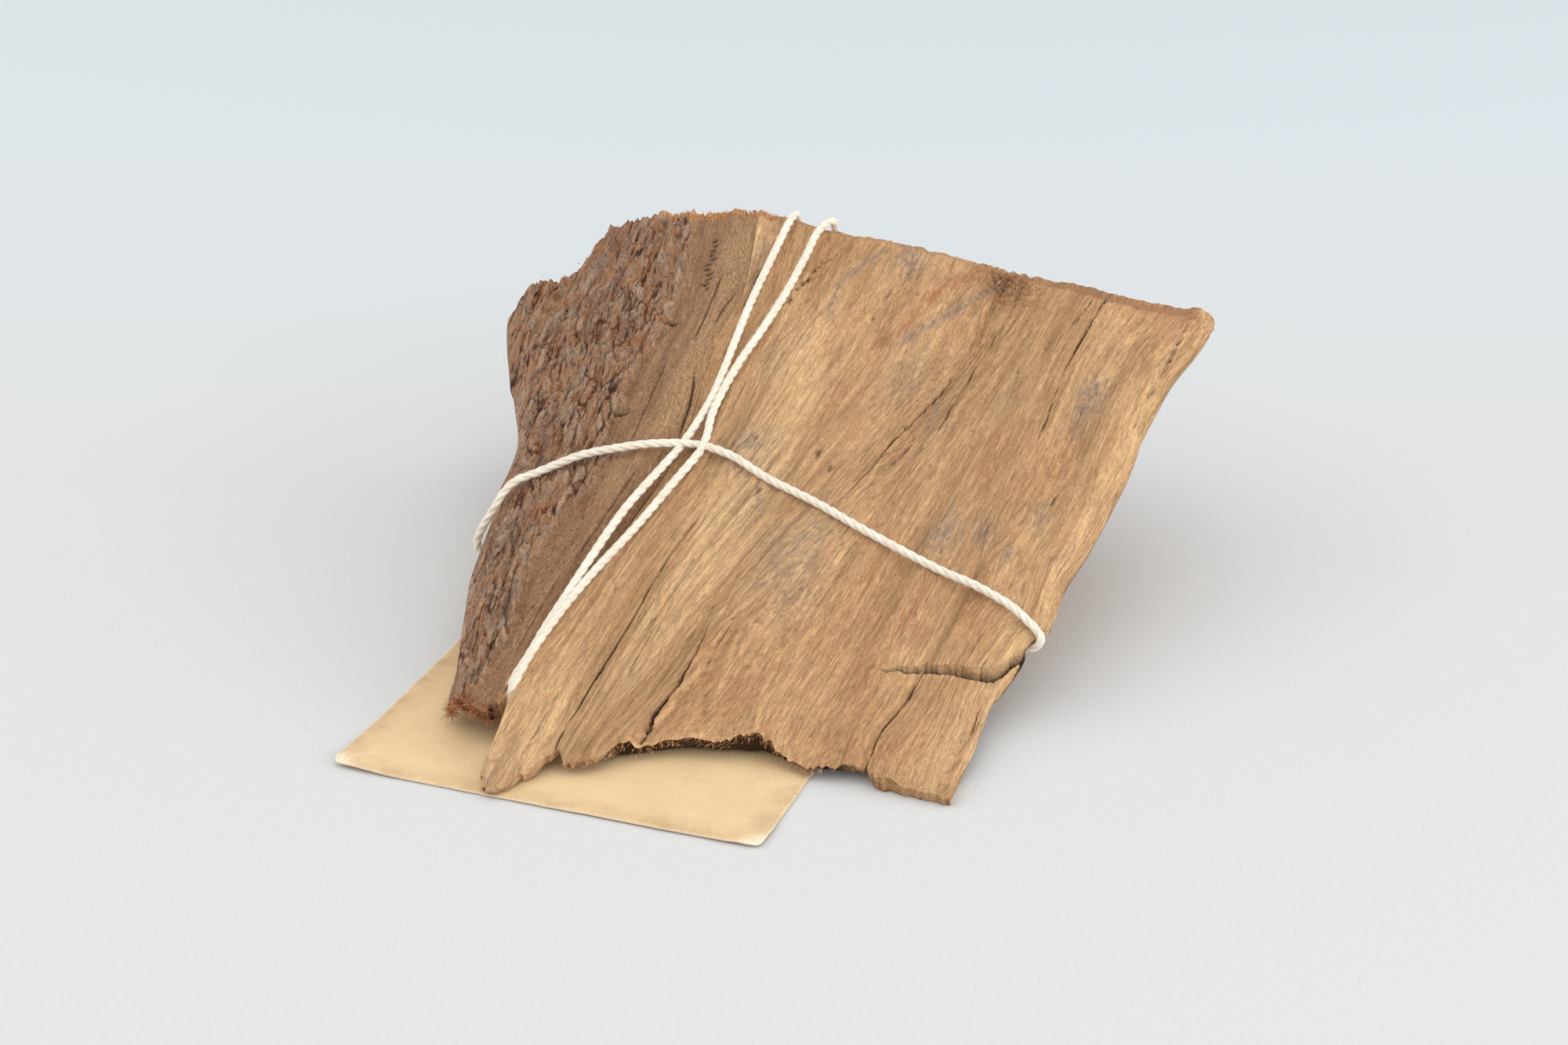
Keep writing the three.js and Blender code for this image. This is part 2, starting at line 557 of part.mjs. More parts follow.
function named(manifold, name, color, roughness) {
  const mesh = manifold.getMesh();
  const geometry = new THREE.BufferGeometry();
  geometry.setAttribute('position', new THREE.BufferAttribute(new Float32Array(mesh.vertProperties), 3));
  geometry.setIndex(new THREE.BufferAttribute(new Uint32Array(mesh.triVerts), 1));
  geometry.computeVertexNormals();
  const piece = new THREE.Mesh(geometry, new THREE.MeshStandardMaterial({ color, roughness, metalness: 0 }));
  piece.name = name;
  return piece;
}

// The card: a thin plate with worn round corners
function card() {
  const shape = new THREE.Shape();
  const c = CARD_CORNER;
  shape.moveTo(c, 0);
  shape.lineTo(CARD_WIDTH - c, 0);
  shape.quadraticCurveTo(CARD_WIDTH, 0, CARD_WIDTH, c);
  shape.lineTo(CARD_WIDTH, CARD_LENGTH - c);
  shape.quadraticCurveTo(CARD_WIDTH, CARD_LENGTH, CARD_WIDTH - c, CARD_LENGTH);
  shape.lineTo(c, CARD_LENGTH);
  shape.quadraticCurveTo(0, CARD_LENGTH, 0, CARD_LENGTH - c);
  shape.lineTo(0, c);
  shape.quadraticCurveTo(0, 0, c, 0);
  const sizes = { depth: CARD_THICK, bevelEnabled: false, curveSegments: 4 };
  const geometry = new THREE.ExtrudeGeometry(shape, sizes);
  const material = new THREE.MeshStandardMaterial({ color: CARD_COLOR, roughness: 0.85 });
  const piece = new THREE.Mesh(geometry, material);
  piece.name = 'card';
  piece.position.copy(place(CARD_LEFT, CARD_FRONT, 0));
  piece.rotation.z = -GRAIN_TURN;
  return piece;
}

const group = new THREE.Group();
group.add(named(chipBody().subtract(splitBlade()), 'chip', WOOD_COLOR, 0.8));
group.add(named(tiedString(), 'string', STRING_COLOR, 0.9));
group.add(card());

export default group;
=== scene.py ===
import math

import bpy
import numpy as np
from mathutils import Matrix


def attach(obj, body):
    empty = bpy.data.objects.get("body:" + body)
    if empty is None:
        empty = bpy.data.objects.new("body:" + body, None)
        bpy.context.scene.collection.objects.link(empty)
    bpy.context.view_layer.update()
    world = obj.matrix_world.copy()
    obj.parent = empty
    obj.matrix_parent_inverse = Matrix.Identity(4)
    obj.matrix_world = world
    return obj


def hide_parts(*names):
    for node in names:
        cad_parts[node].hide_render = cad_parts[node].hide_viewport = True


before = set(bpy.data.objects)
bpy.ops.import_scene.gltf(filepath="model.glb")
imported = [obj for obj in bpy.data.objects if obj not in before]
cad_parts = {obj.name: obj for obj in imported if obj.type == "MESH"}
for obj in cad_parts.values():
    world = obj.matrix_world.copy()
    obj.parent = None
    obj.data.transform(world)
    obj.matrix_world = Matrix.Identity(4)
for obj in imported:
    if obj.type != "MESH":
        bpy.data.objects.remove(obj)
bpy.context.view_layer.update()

MM = 0.001

# Driving sizes, the same as the solid part's
GRAIN_TURN = math.radians(20)
MIDDLE_X = 4.1
MIDDLE_Y = 64.4
CARD_WIDTH = 76
CARD_LENGTH = 127
CARD_THICK = 0.5
CARD_LEFT = -74.2
CARD_FRONT = -16
STRING_THICK = 1.6
TOUCH_GAP = 0.3
FACE_SLOPE = 0.45
FRONT_THICK = 2.2
LEAST_THICK = 1.5
EDGE_BEVEL = 2.6
EDGE_BEVEL_WIDTH = 5.2
CUT_RELIEF = 1.0
BARK_SLOPE = 0.2
BARK_ROLL = 0.0042
BARK_RIM_DROP = 3.2
HOLLOW_HEIGHT = 4.3

# Forms that the scene adds, or makes a little deeper than the solid part
FLAKE_RELIEF = 1.25
BELLY_DROP = 4.2
TORN_DROP = 1.6

# Outlines of the chip, as (w, u) for edges along the grain and (u, w) for edges across it
BARK_EDGE = [(4, -62.8), (10, -63.8), (21, -67.4), (31, -70.9), (46, -73.9), (53, -75.8), (64, -76.8),
             (78, -83.7), (90, -90.5), (108, -99.5), (114, -101), (119, -101)]
RIDGE = [(-16, -50.6), (20, -50.3), (44, -49), (64, -47.8), (90, -47.4), (118, -48.2)]
BARK_SEAM = [(-4, -51.6), (6, -51), (19, -48.5), (30, -46.8), (42, -44.7), (52, -43.2), (60, -42.8),
             (68, -43.1), (80, -44.6), (88, -44.2), (96, -43.6), (104, -44.8), (114, -47.1), (120, -48.5)]
CRACK_A = [(-6, -38.6), (13, -37.3), (24, -36.1), (30, -35.6), (60, -31), (90, -28), (120, -25)]
CRACK_B = [(-1, -29), (13, -24.2), (29, -20.4), (60, -9.4), (80, -3.5), (92, 0), (120, 1.6)]
CRACK_F = [(6, -12), (30, -8), (60, -3.4), (71, -1), (82, 1.4), (97, 3.5), (120, 6.2)]
CRACK_C = [(6, 11), (16, 11), (21, 12.2), (30, 13.8), (60, 16.6), (85, 18.3), (103, 19.2), (120, 21.6)]
RIGHT_EDGE = [(5, 26.5), (13, 25.9), (18.7, 26.2), (24, 25.9), (30, 25.6), (34, 26.2), (37, 27),
              (40, 28.2), (41.4, 28.5), (42.8, 29), (44.2, 29.6), (45.4, 30.2), (47.2, 31.4), (51, 31.5),
              (56, 31.3), (60, 31.4), (67, 33), (80, 35), (88, 35.9), (94, 35.9), (104, 37.1),
              (109, 37.9), (113, 39.3), (117, 41), (121, 42), (124, 42.3)]
FRONT_EDGE = [(-63.8, 6.6), (-62.3, 3.8), (-60.7, 1.7), (-57, 0), (-54, -1.2), (-52.4, -1), (-51.2, 0.8),
              (-50.5, 3), (-49.9, 3.4), (-49.5, 0), (-49, -4.5), (-48.4, -12), (-46.6, -15.6),
              (-44.9, -16.7), (-43.4, -15), (-42.5, -12.6), (-41.4, -10.6), (-40.1, -8.4), (-39, -5.8),
              (-38.4, -4.6), (-36.2, -6.8), (-32.5, -4.5), (-30.8, -2.6), (-30.2, -0.6), (-29.6, 0.7),
              (-27.8, 2), (-22.7, 5.2), (-16.3, 6.9), (-14.4, 7.6), (-7.7, 9.7), (-4.5, 8.4), (1.5, 7.5),
              (8.2, 8.4), (10.9, 9.4), (11.7, 7.8), (20, 6.8), (25, 6.4), (26.6, 7.8)]
BACK_EDGE = [(-101.4, 109.6), (-100.4, 113.4), (-97.5, 115.4), (-93, 115.2), (-88, 113.4), (-85.4, 113.8),
             (-83.4, 116.4), (-82, 120.2), (-80, 122.2), (-76, 123), (-71, 123.2), (-62, 121),
             (-49, 119.6), (-27.6, 120.8), (-5.6, 122.6), (19.3, 124.8), (38.5, 125.8), (40.6, 125.8),
             (41.8, 125), (42.4, 123.2)]
ROUGH_BARK_EDGE = [(5, -57), (14, -55.4), (27, -57.8), (39, -56.6), (47, -53.6), (55, -54.5), (66, -57.6),
                   (83, -57.7), (92, -56), (117, -61.9)]
SPLIT = [(7.6, 28), (10.5, 29.8), (14.1, 31.4), (19.1, 33.2), (21.4, 34.5), (24.1, 35.9), (25, 36.9),
         (26.7, 39.6), (28.3, 41.6), (33, 46)]
WOOD_GUIDES = [BARK_SEAM, CRACK_A, CRACK_B, CRACK_F, CRACK_C, RIGHT_EDGE]

# Cracks along the grain: the line as (w, u), where along w it opens and closes, depth, half width
CRACKS = [
    (CRACK_A, -12, 37, 2.6, 0.26),
    (CRACK_A, 34, 48, 0.7, 0.2),
    ([(-1, -27.4), (4.8, -26.3), (8.1, -26), (13.3, -24.5), (22.5, -23.7), (28, -23.4)], -2, 28, 1.6, 0.24),
    ([(18, -21.5), (23.4, -21), (29, -20.1)], 17, 31, 0.9, 0.2),
    (CRACK_B, 60, 92, 2.0, 0.27),
    (CRACK_F, 68, 119, 0.6, 0.17),
    (CRACK_C, 4, 33, 2.0, 0.22),
    (CRACK_C, 101, 125, 1.5, 0.22),
    (CRACK_C, 80, 99, 0.5, 0.18),
    ([(95, -35.6), (101, -35), (105.5, -34.1), (110, -33.1), (113.6, -31.1), (118, -29.4)],
     94, 120, 0.9, 0.2),
    ([(17.3, 22.3), (24, 23.9), (29.5, 24.4), (33.5, 25)], 16, 35, 0.6, 0.15),
    ([(95.7, 34.1), (102.2, 34.5), (111.7, 36.2), (121, 38.6)], 91, 123, 0.6, 0.2),
    ([(112.7, 17.5), (118.4, 19)], 111, 119.5, 0.8, 0.18),
    ([(85.5, 18.4), (88.9, 18.7)], 84.5, 89.5, 0.9, 0.22),
    ([(90.8, 11.9), (94.5, 11.3), (98.8, 10.6)], 90, 99.5, 0.8, 0.26),
    ([(60, -7.8), (75, -3), (84, -0.8)], 60, 84, 0.5, 0.18),
    ([(52, -36.5), (66, -34.9)], 52, 66, 0.4, 0.16),
    ([(34, -4.5), (46, -3)], 34, 46, 0.4, 0.16),
    ([(20, 4), (31, 6)], 20, 31, 0.4, 0.16),
    ([(44, 9), (58, 10.6)], 44, 58, 0.4, 0.16),
    ([(66, 24), (80, 25.6)], 66, 80, 0.45, 0.16),
    ([(98, -19), (108, -17)], 98, 108, 0.4, 0.16),
    ([(8, -33.5), (26, -31)], 8, 26, 0.3, 0.22),
    ([(-8, -43), (12, -42)], -8, 12, 0.25, 0.2),
    ([(24, -41.5), (40, -40)], 24, 40, 0.35, 0.22),
]

# Relief bands: height of the swells, their width and length, and where the pattern starts
FINE_RIBS = (0.45, 3.1, 70, 0, 9)
BROAD_RIBS = (0.5, 9, 45, 40, 0)
BARK_PLATES = (1.3, 4.6, 9.5, 0, 0)
BARK_SWELLS = (1.1, 8, 19, 20, 5)
INNER_BARK = (0.45, 2.6, 26, 0, 3)
UNDER_RIBS = (0.35, 4, 14, 7, 0)
UNDER_SWELLS = (0.45, 9, 30, 0, 2)

# Patches of colour on the wood as (u, w, half width, half length, strength)
GREY_STAINS = [(-30.2, 63, 4.6, 6.5, 0.8), (-33, 84, 2.4, 8, 0.35), (-16.5, 117, 3.4, 5, 0.8),
               (-0.5, 80.6, 2.2, 5, 0.5), (10.9, 90.5, 2.4, 4, 0.3), (8.6, 57.6, 3, 4.6, 1.0),
               (15.5, 60.5, 2, 3, 0.8), (25.2, 97.4, 2.4, 4.4, 1.3), (24, 90, 1.6, 3.6, 0.6),
               (-12, 49, 4, 8, 0.6), (-13, 37, 4, 7, 0.5), (-7.5, 88, 4, 7, 0.5), (-24.5, 52, 3, 5, 0.4),
               (-43.5, 108, 1.8, 8, 0.5), (-18, 44, 3, 7, 0.5), (3, 118, 1.4, 4, 0.15),
               (20.5, 57.5, 1.2, 2, 0.8), (23.5, 68, 2.4, 3.5, 0.6)]
GREY_STREAKS = [([(94, -11.4), (98, -9.9), (106.3, -4.4), (118, 1.6)], 1.1, 0.8),
                ([(97, -26.5), (102.6, -27.3), (108.6, -26.8), (117.5, -21.7)], 0.7, 0.9)]
RED_PATCHES = [(3, 117, 4, 5, 0.8), (1.6, 103.9, 1.3, 6, 0.8), (22, 78, 2.2, 9, 0.6),
               (5.5, 25, 2.5, 8, 0.55), (8.7, 39.2, 3, 8, 0.5), (18.3, 44.4, 3.4, 5, 0.55),
               (-33.4, 41, 1.2, 9, 0.5), (24, 88, 1.4, 9, 0.4), (13, 14, 2.6, 6, 0.6),
               (-38, 52, 1, 10, 0.4), (33, 121, 8, 2.6, 0.7), (-20, 78, 2, 8, 0.3),
               (12, 78, 1.6, 10, 0.35), (27, 108, 1.4, 8, 0.35), (3, 12, 6, 3, 0.4)]
RED_STREAKS = [([(93, -15.4), (99, -12.6), (110.8, -8.3), (121.5, -2.4)], 1.5, 1.0)]
PALE_PATCHES = [(-25, 60, 5, 18, 0.8), (-30, 41, 5, 17, 0.8), (-42, -2, 5, 18, 0.7),
                (-32, 19, 4, 14, 0.5), (-29, 85, 5, 12, 0.7), (25.6, 43.7, 2, 8, 0.9),
                (22, 15, 3, 10, 0.6), (-45.8, 109, 1.6, 8, 1.4), (9.5, 31, 4, 3, 0.5),
                (26, 106, 3, 9, 0.5), (-36, 100, 3, 9, 0.5)]
DARK_PATCHES = [(-42.3, 101.3, 0.5, 3.2, 1.0), (-42.1, 95.1, 0.5, 2.6, 0.9), (-41.5, 88, 0.45, 2.4, 0.8),
                (-41.2, 82.4, 0.4, 2.4, 0.7), (5.5, 118, 1.2, 0.4, 0.15), (2.5, 116, 0.4, 1.4, 0.15),
                (-46.4, 103.8, 0.9, 0.6, 0.9), (-36.5, 97, 0.4, 4, 0.5), (-29.5, 66, 0.5, 0.8, 0.5),
                (-14.5, 64, 0.4, 0.9, 0.9), (-17.5, 66.5, 0.4, 1.6, 0.8), (-25, 55, 0.4, 1.3, 0.7)]
RUST_PATCHES = [(-87.7, 103.4, 3, 5, 0.7), (-77.7, 92.6, 2, 5, 0.5), (-92, 97.3, 2.4, 5, 0.8),
                (-73, 105.3, 1.4, 4, 0.7), (-63.3, 102.2, 0.8, 3, 1.2), (-65.6, 50.5, 1.6, 4, 0.8),
                (-60.2, 41.9, 1.6, 4, 1.0), (-59.7, 55.1, 1.4, 3, 0.9), (-64, 74, 1.4, 4, 0.6),
                (-80, 76, 1.6, 5, 0.6), (-70, 34, 1.2, 5, 0.5), (-84, 112, 4, 4, 0.5),
                (-62, 20, 1.2, 4, 0.6)]
BARK_PITS = [(-89.2, 88, 1.5, 1.3, 1.6), (-52.3, -0.5, 0.5, 0.7, 1.5), (-55.7, 89.6, 1.8, 0.35, 1.0),
             (-56, 65.8, 2.4, 0.35, 1.0), (-60, 72, 0.8, 1.4, 0.8), (-76, 84, 0.8, 1.2, 0.7),
             (-67, 96, 0.7, 1.5, 0.8)]
BARK_STREAKS = [([(62, -42.9), (71.5, -44.1), (76, -45.4)], 0.28, 0.9),
                ([(30, -49.8), (52, -47)], 0.3, 0.6), ([(84, -48.5), (101, -49.5)], 0.25, 0.7),
                ([(56, -50.5), (80, -52.5)], 0.3, 0.5), ([(10, -52.4), (28, -51.2)], 0.25, 0.5),
                ([(88, -46.3), (98, -45.5)], 0.3, 0.7)]
PIT_ROW = [(98, -51.6), (111, -54.6)]
PIT_ROW_COUNT = 11


# Curves, ramps and patterns

def follow(points, x):
    """A smooth curve through points (x, y), level past both ends."""
    xs, ys = np.array(points, float).T
    last = len(xs) - 1
    order = np.arange(last + 1)
    before = np.maximum(order - 1, 0)
    after = np.minimum(order + 1, last)
    slopes = (ys[after] - ys[before]) / (xs[after] - xs[before])
    x = np.clip(x, xs[0], xs[-1])
    k = np.clip(np.searchsorted(xs, x) - 1, 0, last - 1)
    run = xs[k + 1] - xs[k]
    t = (x - xs[k]) / run
    t2 = t * t
    t3 = t2 * t
    start = (2 * t3 - 3 * t2 + 1) * ys[k] + (t3 - 2 * t2 + t) * run * slopes[k]
    return start + (3 * t2 - 2 * t3) * ys[k + 1] + (t3 - t2) * run * slopes[k + 1]


def along_lines(points, x):
    """Straight lines through points (x, y)."""
    xs, ys = np.array(points, float).T
    return np.interp(x, xs, ys)


def smooth(low, high, x):
    t = np.clip((x - low) / (high - low), 0.0, 1.0)
    return t * t * (3.0 - 2.0 * t)


def mix(a, b, t):
    return a + (b - a) * t


def scatter(ix, iy):
    """A repeatable number between -1 and 1 for each whole place."""
    n = np.sin(ix * 127.1 + iy * 311.7) * 43758.5453
    return 2.0 * (n - np.floor(n)) - 1.0


def noise(x, y):
    """Repeatable smooth swells between -1 and 1."""
    x, y = np.broadcast_arrays(np.asarray(x, float), np.asarray(y, float))
    ix, iy = np.floor(x), np.floor(y)
    fx, fy = smooth(0, 1, x - ix), smooth(0, 1, y - iy)
    low = mix(scatter(ix, iy), scatter(ix + 1, iy), fx)
    high = mix(scatter(ix, iy + 1), scatter(ix + 1, iy + 1), fx)
    return mix(low, high, fy)


def relief(band, u, w):
    height, wide, long, start_u, start_w = band
    return height * noise(u / wide + start_u, w / long + start_w)


def cells(x, y, seed):
    """The scales of a cracked skin: how far a place is inside its scale, and the scale's own number."""
    ix, iy = np.floor(x), np.floor(y)
    near = np.full(x.shape, 9.0)
    second = near.copy()
    own = np.zeros(x.shape)
    for dx in (-1, 0, 1):
        for dy in (-1, 0, 1):
            cx, cy = ix + dx, iy + dy
            px = cx + 0.5 + 0.45 * scatter(cx + seed, cy)
            py = cy + 0.5 + 0.45 * scatter(cy + seed + 17, cx + 31)
            far = np.hypot(px - x, py - y)
            closer = far < near
            second = np.where(closer, near, np.minimum(second, far))
            own = np.where(closer, scatter(cx + 5 + seed, cy + 71), own)
            near = np.where(closer, far, near)
    return second - near, own


def patches(spots, u, w):
    total = np.zeros(np.broadcast(u, w).shape)
    for spot_u, spot_w, wide, long, strength in spots:
        total += strength * np.exp(-((u - spot_u) / wide) ** 2 - ((w - spot_w) / long) ** 2)
    return total


def streaks(lines, u, w):
    total = np.zeros(np.broadcast(u, w).shape)
    for line, half, strength in lines:
        start, end = line[0][0], line[-1][0]
        ends = smooth(start - 3, start + 3, w) * (1 - smooth(end - 3, end + 3, w))
        off = (u - follow(line, w) - 0.5 * half * noise(w / 3.1, start)) / half
        total += strength * ends * np.exp(-off * off)
    return total


# The chip's surfaces in grain places

def split_line(u):
    return along_lines(SPLIT, u)


def split_edge(u):
    """The ragged lip of the split across the grain."""
    ragged = 0.16 * noise(u / 0.45, 3) + 0.25 * noise(u / 1.6, 8)
    return split_line(u) + ragged * smooth(8, 12, u)


def face_plane(u, w):
    rise = FACE_SLOPE * (w * math.cos(GRAIN_TURN) - u * math.sin(GRAIN_TURN))
    return np.hypot(np.maximum(rise, 0), FRONT_THICK)


def curly_share(u, w):
    return smooth(60, 95, w) * smooth(-34, -12, u) * (1 - smooth(2, 22, u))


def wood_face(u, w):
    """The split face without its fine relief, near the solid part's."""
    lean = u - 0.09 * w
    ribs = relief(FINE_RIBS, lean, w) + relief(BROAD_RIBS, lean, w)
    z = face_plane(u, w) + ribs * smooth(-16, 6, w) * mix(1, 0.45, smooth(108, 121, w))
    z = z + 0.7 * np.sin(w / 11 + u / 9) * curly_share(u, w)
    past_tear = u - follow(CRACK_B, w)
    torn = smooth(-0.6, 0.6, past_tear) * (1 - smooth(16, 34, w))
    z = z - TORN_DROP * torn * (1 - smooth(4, 17, past_tear))
    from_edge = np.maximum(follow(RIGHT_EDGE, w) - u, 0)
    at_notch = np.exp(-((w - 45) / 8) ** 2)
    bevel = EDGE_BEVEL * smooth(12, 30, w) * mix(1, 0.35, smooth(106, 120, w)) * (1 - 0.75 * at_notch)
    z = z - bevel * (1 - smooth(0, EDGE_BEVEL_WIDTH, from_edge))
    below = split_edge(u) - w
    shed = smooth(8, 12, u) * (1 - smooth(2, 24, below)) * mix(0.7, 1.1, smooth(20, 28, u))
    return np.where(below > 0, z - shed, z)


def bark_rough(u, w):
    """1 on the rugged outer bark, 0 on the smoother inner bark."""
    ragged = 1.2 * noise(w / 3.3, u / 5) + 0.7 * noise(w / 1.3 + 5, u / 2)
    past = u - follow(ROUGH_BARK_EDGE, w) + ragged
    return smooth(1.2, -1.2, past) * smooth(-5, 2, w)


def bark_face(u, w):
    """The bark rolling away to the left of the ridge, the same as the solid part's."""
    ridge = follow(RIDGE, w)
    away = np.maximum(ridge - u, 0)
    z = wood_face(np.maximum(u, ridge), w) - BARK_SLOPE * away - BARK_ROLL * away * away
    lean = u + 0.14 * w
    rough = bark_rough(u, w)
    z = z + rough * (1.0 + relief(BARK_PLATES, lean, w) + relief(BARK_SWELLS, lean, w))
    z = z + (1 - rough) * relief(INNER_BARK, lean, w) * smooth(0, 3, away)
    return z - BARK_RIM_DROP * (1 - smooth(0, 5, u - follow(BARK_EDGE, w)))


def edge_wear(u, w):
    cut = smooth(-12, 14, u)
    worn = (1.1 + 1.3 * cut) * (1 - smooth(0, 1, (along_lines(BACK_EDGE, u) - w) / (2.4 + 3.4 * cut)))
    worn = worn * mix(1, 0.4, smooth(35, 40, u))
    return worn + 0.5 * (1 - smooth(0, 1.6, w - along_lines(FRONT_EDGE, u)))


def grain_number(u, w):
    """Each grain line keeps one number all along, so patterns made with it follow the cracks."""
    at = [follow(guide, w) for guide in WOOD_GUIDES]
    own = [float(follow(guide, 60.0)) for guide in WOOD_GUIDES]
    number = own[0] + (u - at[0])
    for k in range(len(at) - 1):
        t = (u - at[k]) / (at[k + 1] - at[k])
        number = np.where(u >= at[k], mix(own[k], own[k + 1], t), number)
    return number


def wavy_grain(u, w):
    number = grain_number(u, w)
    waver = 0.5 * noise(number / 8, w / 14) + 0.18 * noise(number / 3, w / 5 + 3)
    return number + waver * (0.5 + 2.4 * curly_share(u, w))


def crack_shape(u, w):
    """How deep the cracks along the grain are, how much painted shade darkens their insides, and the lips
    beside them.
    """
    deep = np.zeros(np.broadcast(u, w).shape)
    dark = deep.copy()
    lips = deep.copy()
    for number, (line, start, end, depth, half) in enumerate(CRACKS):
        t = np.clip((w - start) / (end - start), 0, 1)
        wander = 0.62 + 0.38 * noise(w / 2.6, number * 7)
        opening = np.sqrt(np.sin(math.pi * t)) * wander
        middle = follow(line, w) + 0.12 * noise(w / 1.1, number * 9) + 0.3 * noise(w / 6, number * 5)
        side = u - middle
        off = np.abs(side) / np.maximum(half * opening, 0.02)
        inside = (1 - smooth(0.4, 1.15, off)) * (opening > 0)
        deep = np.maximum(deep, depth * opening * inside)
        # Painted shade inside the crack, darker where it is deeper
        dark = np.maximum(dark, inside * min(1.0, 0.4 + depth / 2.6) * np.minimum(1.3 * opening, 1))
        lip = 0.3 * depth * opening * np.exp(-np.maximum(-side, 0) / 0.8) * (side < 0)
        lips = lips + lip - 0.08 * depth * opening * np.exp(-np.maximum(side, 0) / 1.2) * (side >= 0)
    return deep, dark, lips


def layer_steps(u, w):
    """Thin torn layers, each ending in a low ledge along the grain."""
    number = wavy_grain(u, w)
    level = 3.2 * noise(number / 5.2 + 11, w / 44) + 1.6 * noise(number / 1.7, w / 22 + 4)
    part = level - np.floor(level)
    return 0.3 * (np.floor(level) + smooth(0, 0.08, part)) * smooth(-2, 12, w) + 0.1 * part


def wood_top(u, w):
    number = wavy_grain(u, w)
    curly = curly_share(u, w)
    strip = (1 - smooth(-26, -12, u)) * (1 - smooth(50, 80, w))
    at_split = np.exp(-((w - split_line(u)) / 5) ** 2) * smooth(4, 9, u)
    stepped = 0.95 * mix(1, 0.3, smooth(110, 121, w)) * (1 - 0.7 * at_split)
    z = wood_face(u, w) - edge_wear(u, w) + stepped * (layer_steps(u, w) - 0.1)
    z = z + (0.16 + 0.12 * strip) * noise(number / 0.85, w / 22) + 0.1 * noise(number / 0.42, w / 9 + 7)
    waver = 6 * noise(number / 2.2, w / 9)
    ripple = np.sin(w / 0.62 + waver) * smooth(-0.1, 0.5, noise(number / 5, w / 12 + 31))
    z = z + 0.16 * curly * ripple
    folds = 0.3 * np.exp(-((u + 27) / 2.2) ** 2 - ((w - 104) / 6) ** 2) * np.sin(2.2 * number)
    z = z + knot_swirl(u, w) + folds
    z = z - 0.5 * np.minimum(patches(DARK_PATCHES, u, w), 1)
    deep, _, lips = crack_shape(u, w)
    return z + lips - deep


def knot_swirl(u, w):
    """Low ridges that curl round the knot at the back."""
    far = np.hypot(u - 6.5, 1.1 * (w - 122))
    rings = np.sin(4.6 * far + 1.6 * noise(u / 1.6, w / 1.6) + 0.4 * u)
    return rings * patches([(3.5, 117.5, 5, 5, 1.0)], u, w)


def split_gap(u, w):
    """1 inside the split across the grain, just below its lip, where the face is cut down and the marks
    paint shade.
    """
    half = mix(0.3, 0.72, smooth(9, 22, u)) * smooth(7, 9, u)
    off = np.abs(w - split_edge(u) + half)
    return smooth(half + 0.05, half - 0.03, off) * (half > 0.02)


def bark_flakes(u, w):
    """The crumpled skin of the outer bark: its height, how creased it is, which sets the painted shade in
    its creases, and each flake's own tone.
    """
    lean = u + 0.14 * w
    bent_u = lean + 0.5 * noise(u / 3, w / 4.5) + 0.22 * noise(u / 1.1, w / 1.7)
    bent_w = w + 1.2 * noise(u / 2.4 + 7, w / 4)
    folds = np.abs(noise(bent_u / 1.35, bent_w / 5.5))
    wrinkles = np.abs(noise(bent_u / 0.75 + 9, bent_w / 2.4))
    inside, own = cells(bent_u / 1.5, bent_w / 3.4, 0)
    small, small_own = cells(bent_u / 0.85, bent_w / 1.6, 40)
    height = 0.8 * np.sqrt(folds) + 0.5 * wrinkles + 0.22 * noise(bent_u / 0.5, w / 1.4)
    height = height + 0.42 * own * smooth(0, 0.22, inside) + 0.26 * small_own * smooth(0, 0.25, small)
    broken = smooth(-0.3, 0.5, noise(u / 2.4 + 30, w / 4 + 60))
    crease = smooth(0.16, 0.02, folds) + 0.6 * smooth(0.15, 0.0, wrinkles)
    crease = crease + 0.8 * smooth(0.16, 0.03, inside)
    return height, np.clip(crease, 0, 1) * (0.5 + 0.5 * broken), 0.5 + 0.5 * (0.6 * own + 0.4 * small_own)


def bark_top(u, w):
    lean = u + 0.14 * w
    rough = bark_rough(u, w)
    z = bark_face(u, w) - edge_wear(u, w) + 0.35
    height, _, _ = bark_flakes(u, w)
    z = z + FLAKE_RELIEF * rough * (height - 0.5) * smooth(-0.5, 3, u - follow(BARK_EDGE, w))
    strands = 0.16 * noise(lean / 0.6, w / 7) + 0.1 * noise(lean / 0.35 + 4, w / 3)
    strands = strands + 0.25 * noise(lean / 1.6, w / 14)
    z = z + (1 - rough) * strands + 0.6 * bark_torn(u, w) * noise(u / 0.5, w / 0.6)
    pits = np.minimum(patches(BARK_PITS, u, w), 1.6)
    return z - pits - 0.5 * streaks(BARK_STREAKS, u, w) - 0.7 * pit_row(u, w)


def bark_torn(u, w):
    """1 on the crumbly torn rims at the bark's front end and along its back."""
    front = 1 - smooth(0.1, 0.7, w - ragged_front(u) + 0.3 * noise(u / 0.7, 5))
    ragged = 1.2 * noise(u / 1.9, 6) + 0.6 * noise(u / 0.6, 8)
    back = (1 - smooth(1.6, 3.6, ragged_back(u) - w + ragged)) * smooth(-76, -68, u)
    return np.maximum(0.6 * front, back)


def pit_row(u, w):
    """A row of small cross pits in the inner bark near the back."""
    (start_w, start_u), (end_w, end_u) = PIT_ROW
    spots = []
    for k in range(PIT_ROW_COUNT):
        t = k / (PIT_ROW_COUNT - 1)
        side = 0.7 * float(scatter(k, 3.0))
        wide = 0.75 + 0.35 * float(scatter(k, 8.0))
        spots.append((mix(start_u, end_u, t) + side, mix(start_w, end_w, t), wide, 0.36, 1.0))
    return patches(spots, u, w)


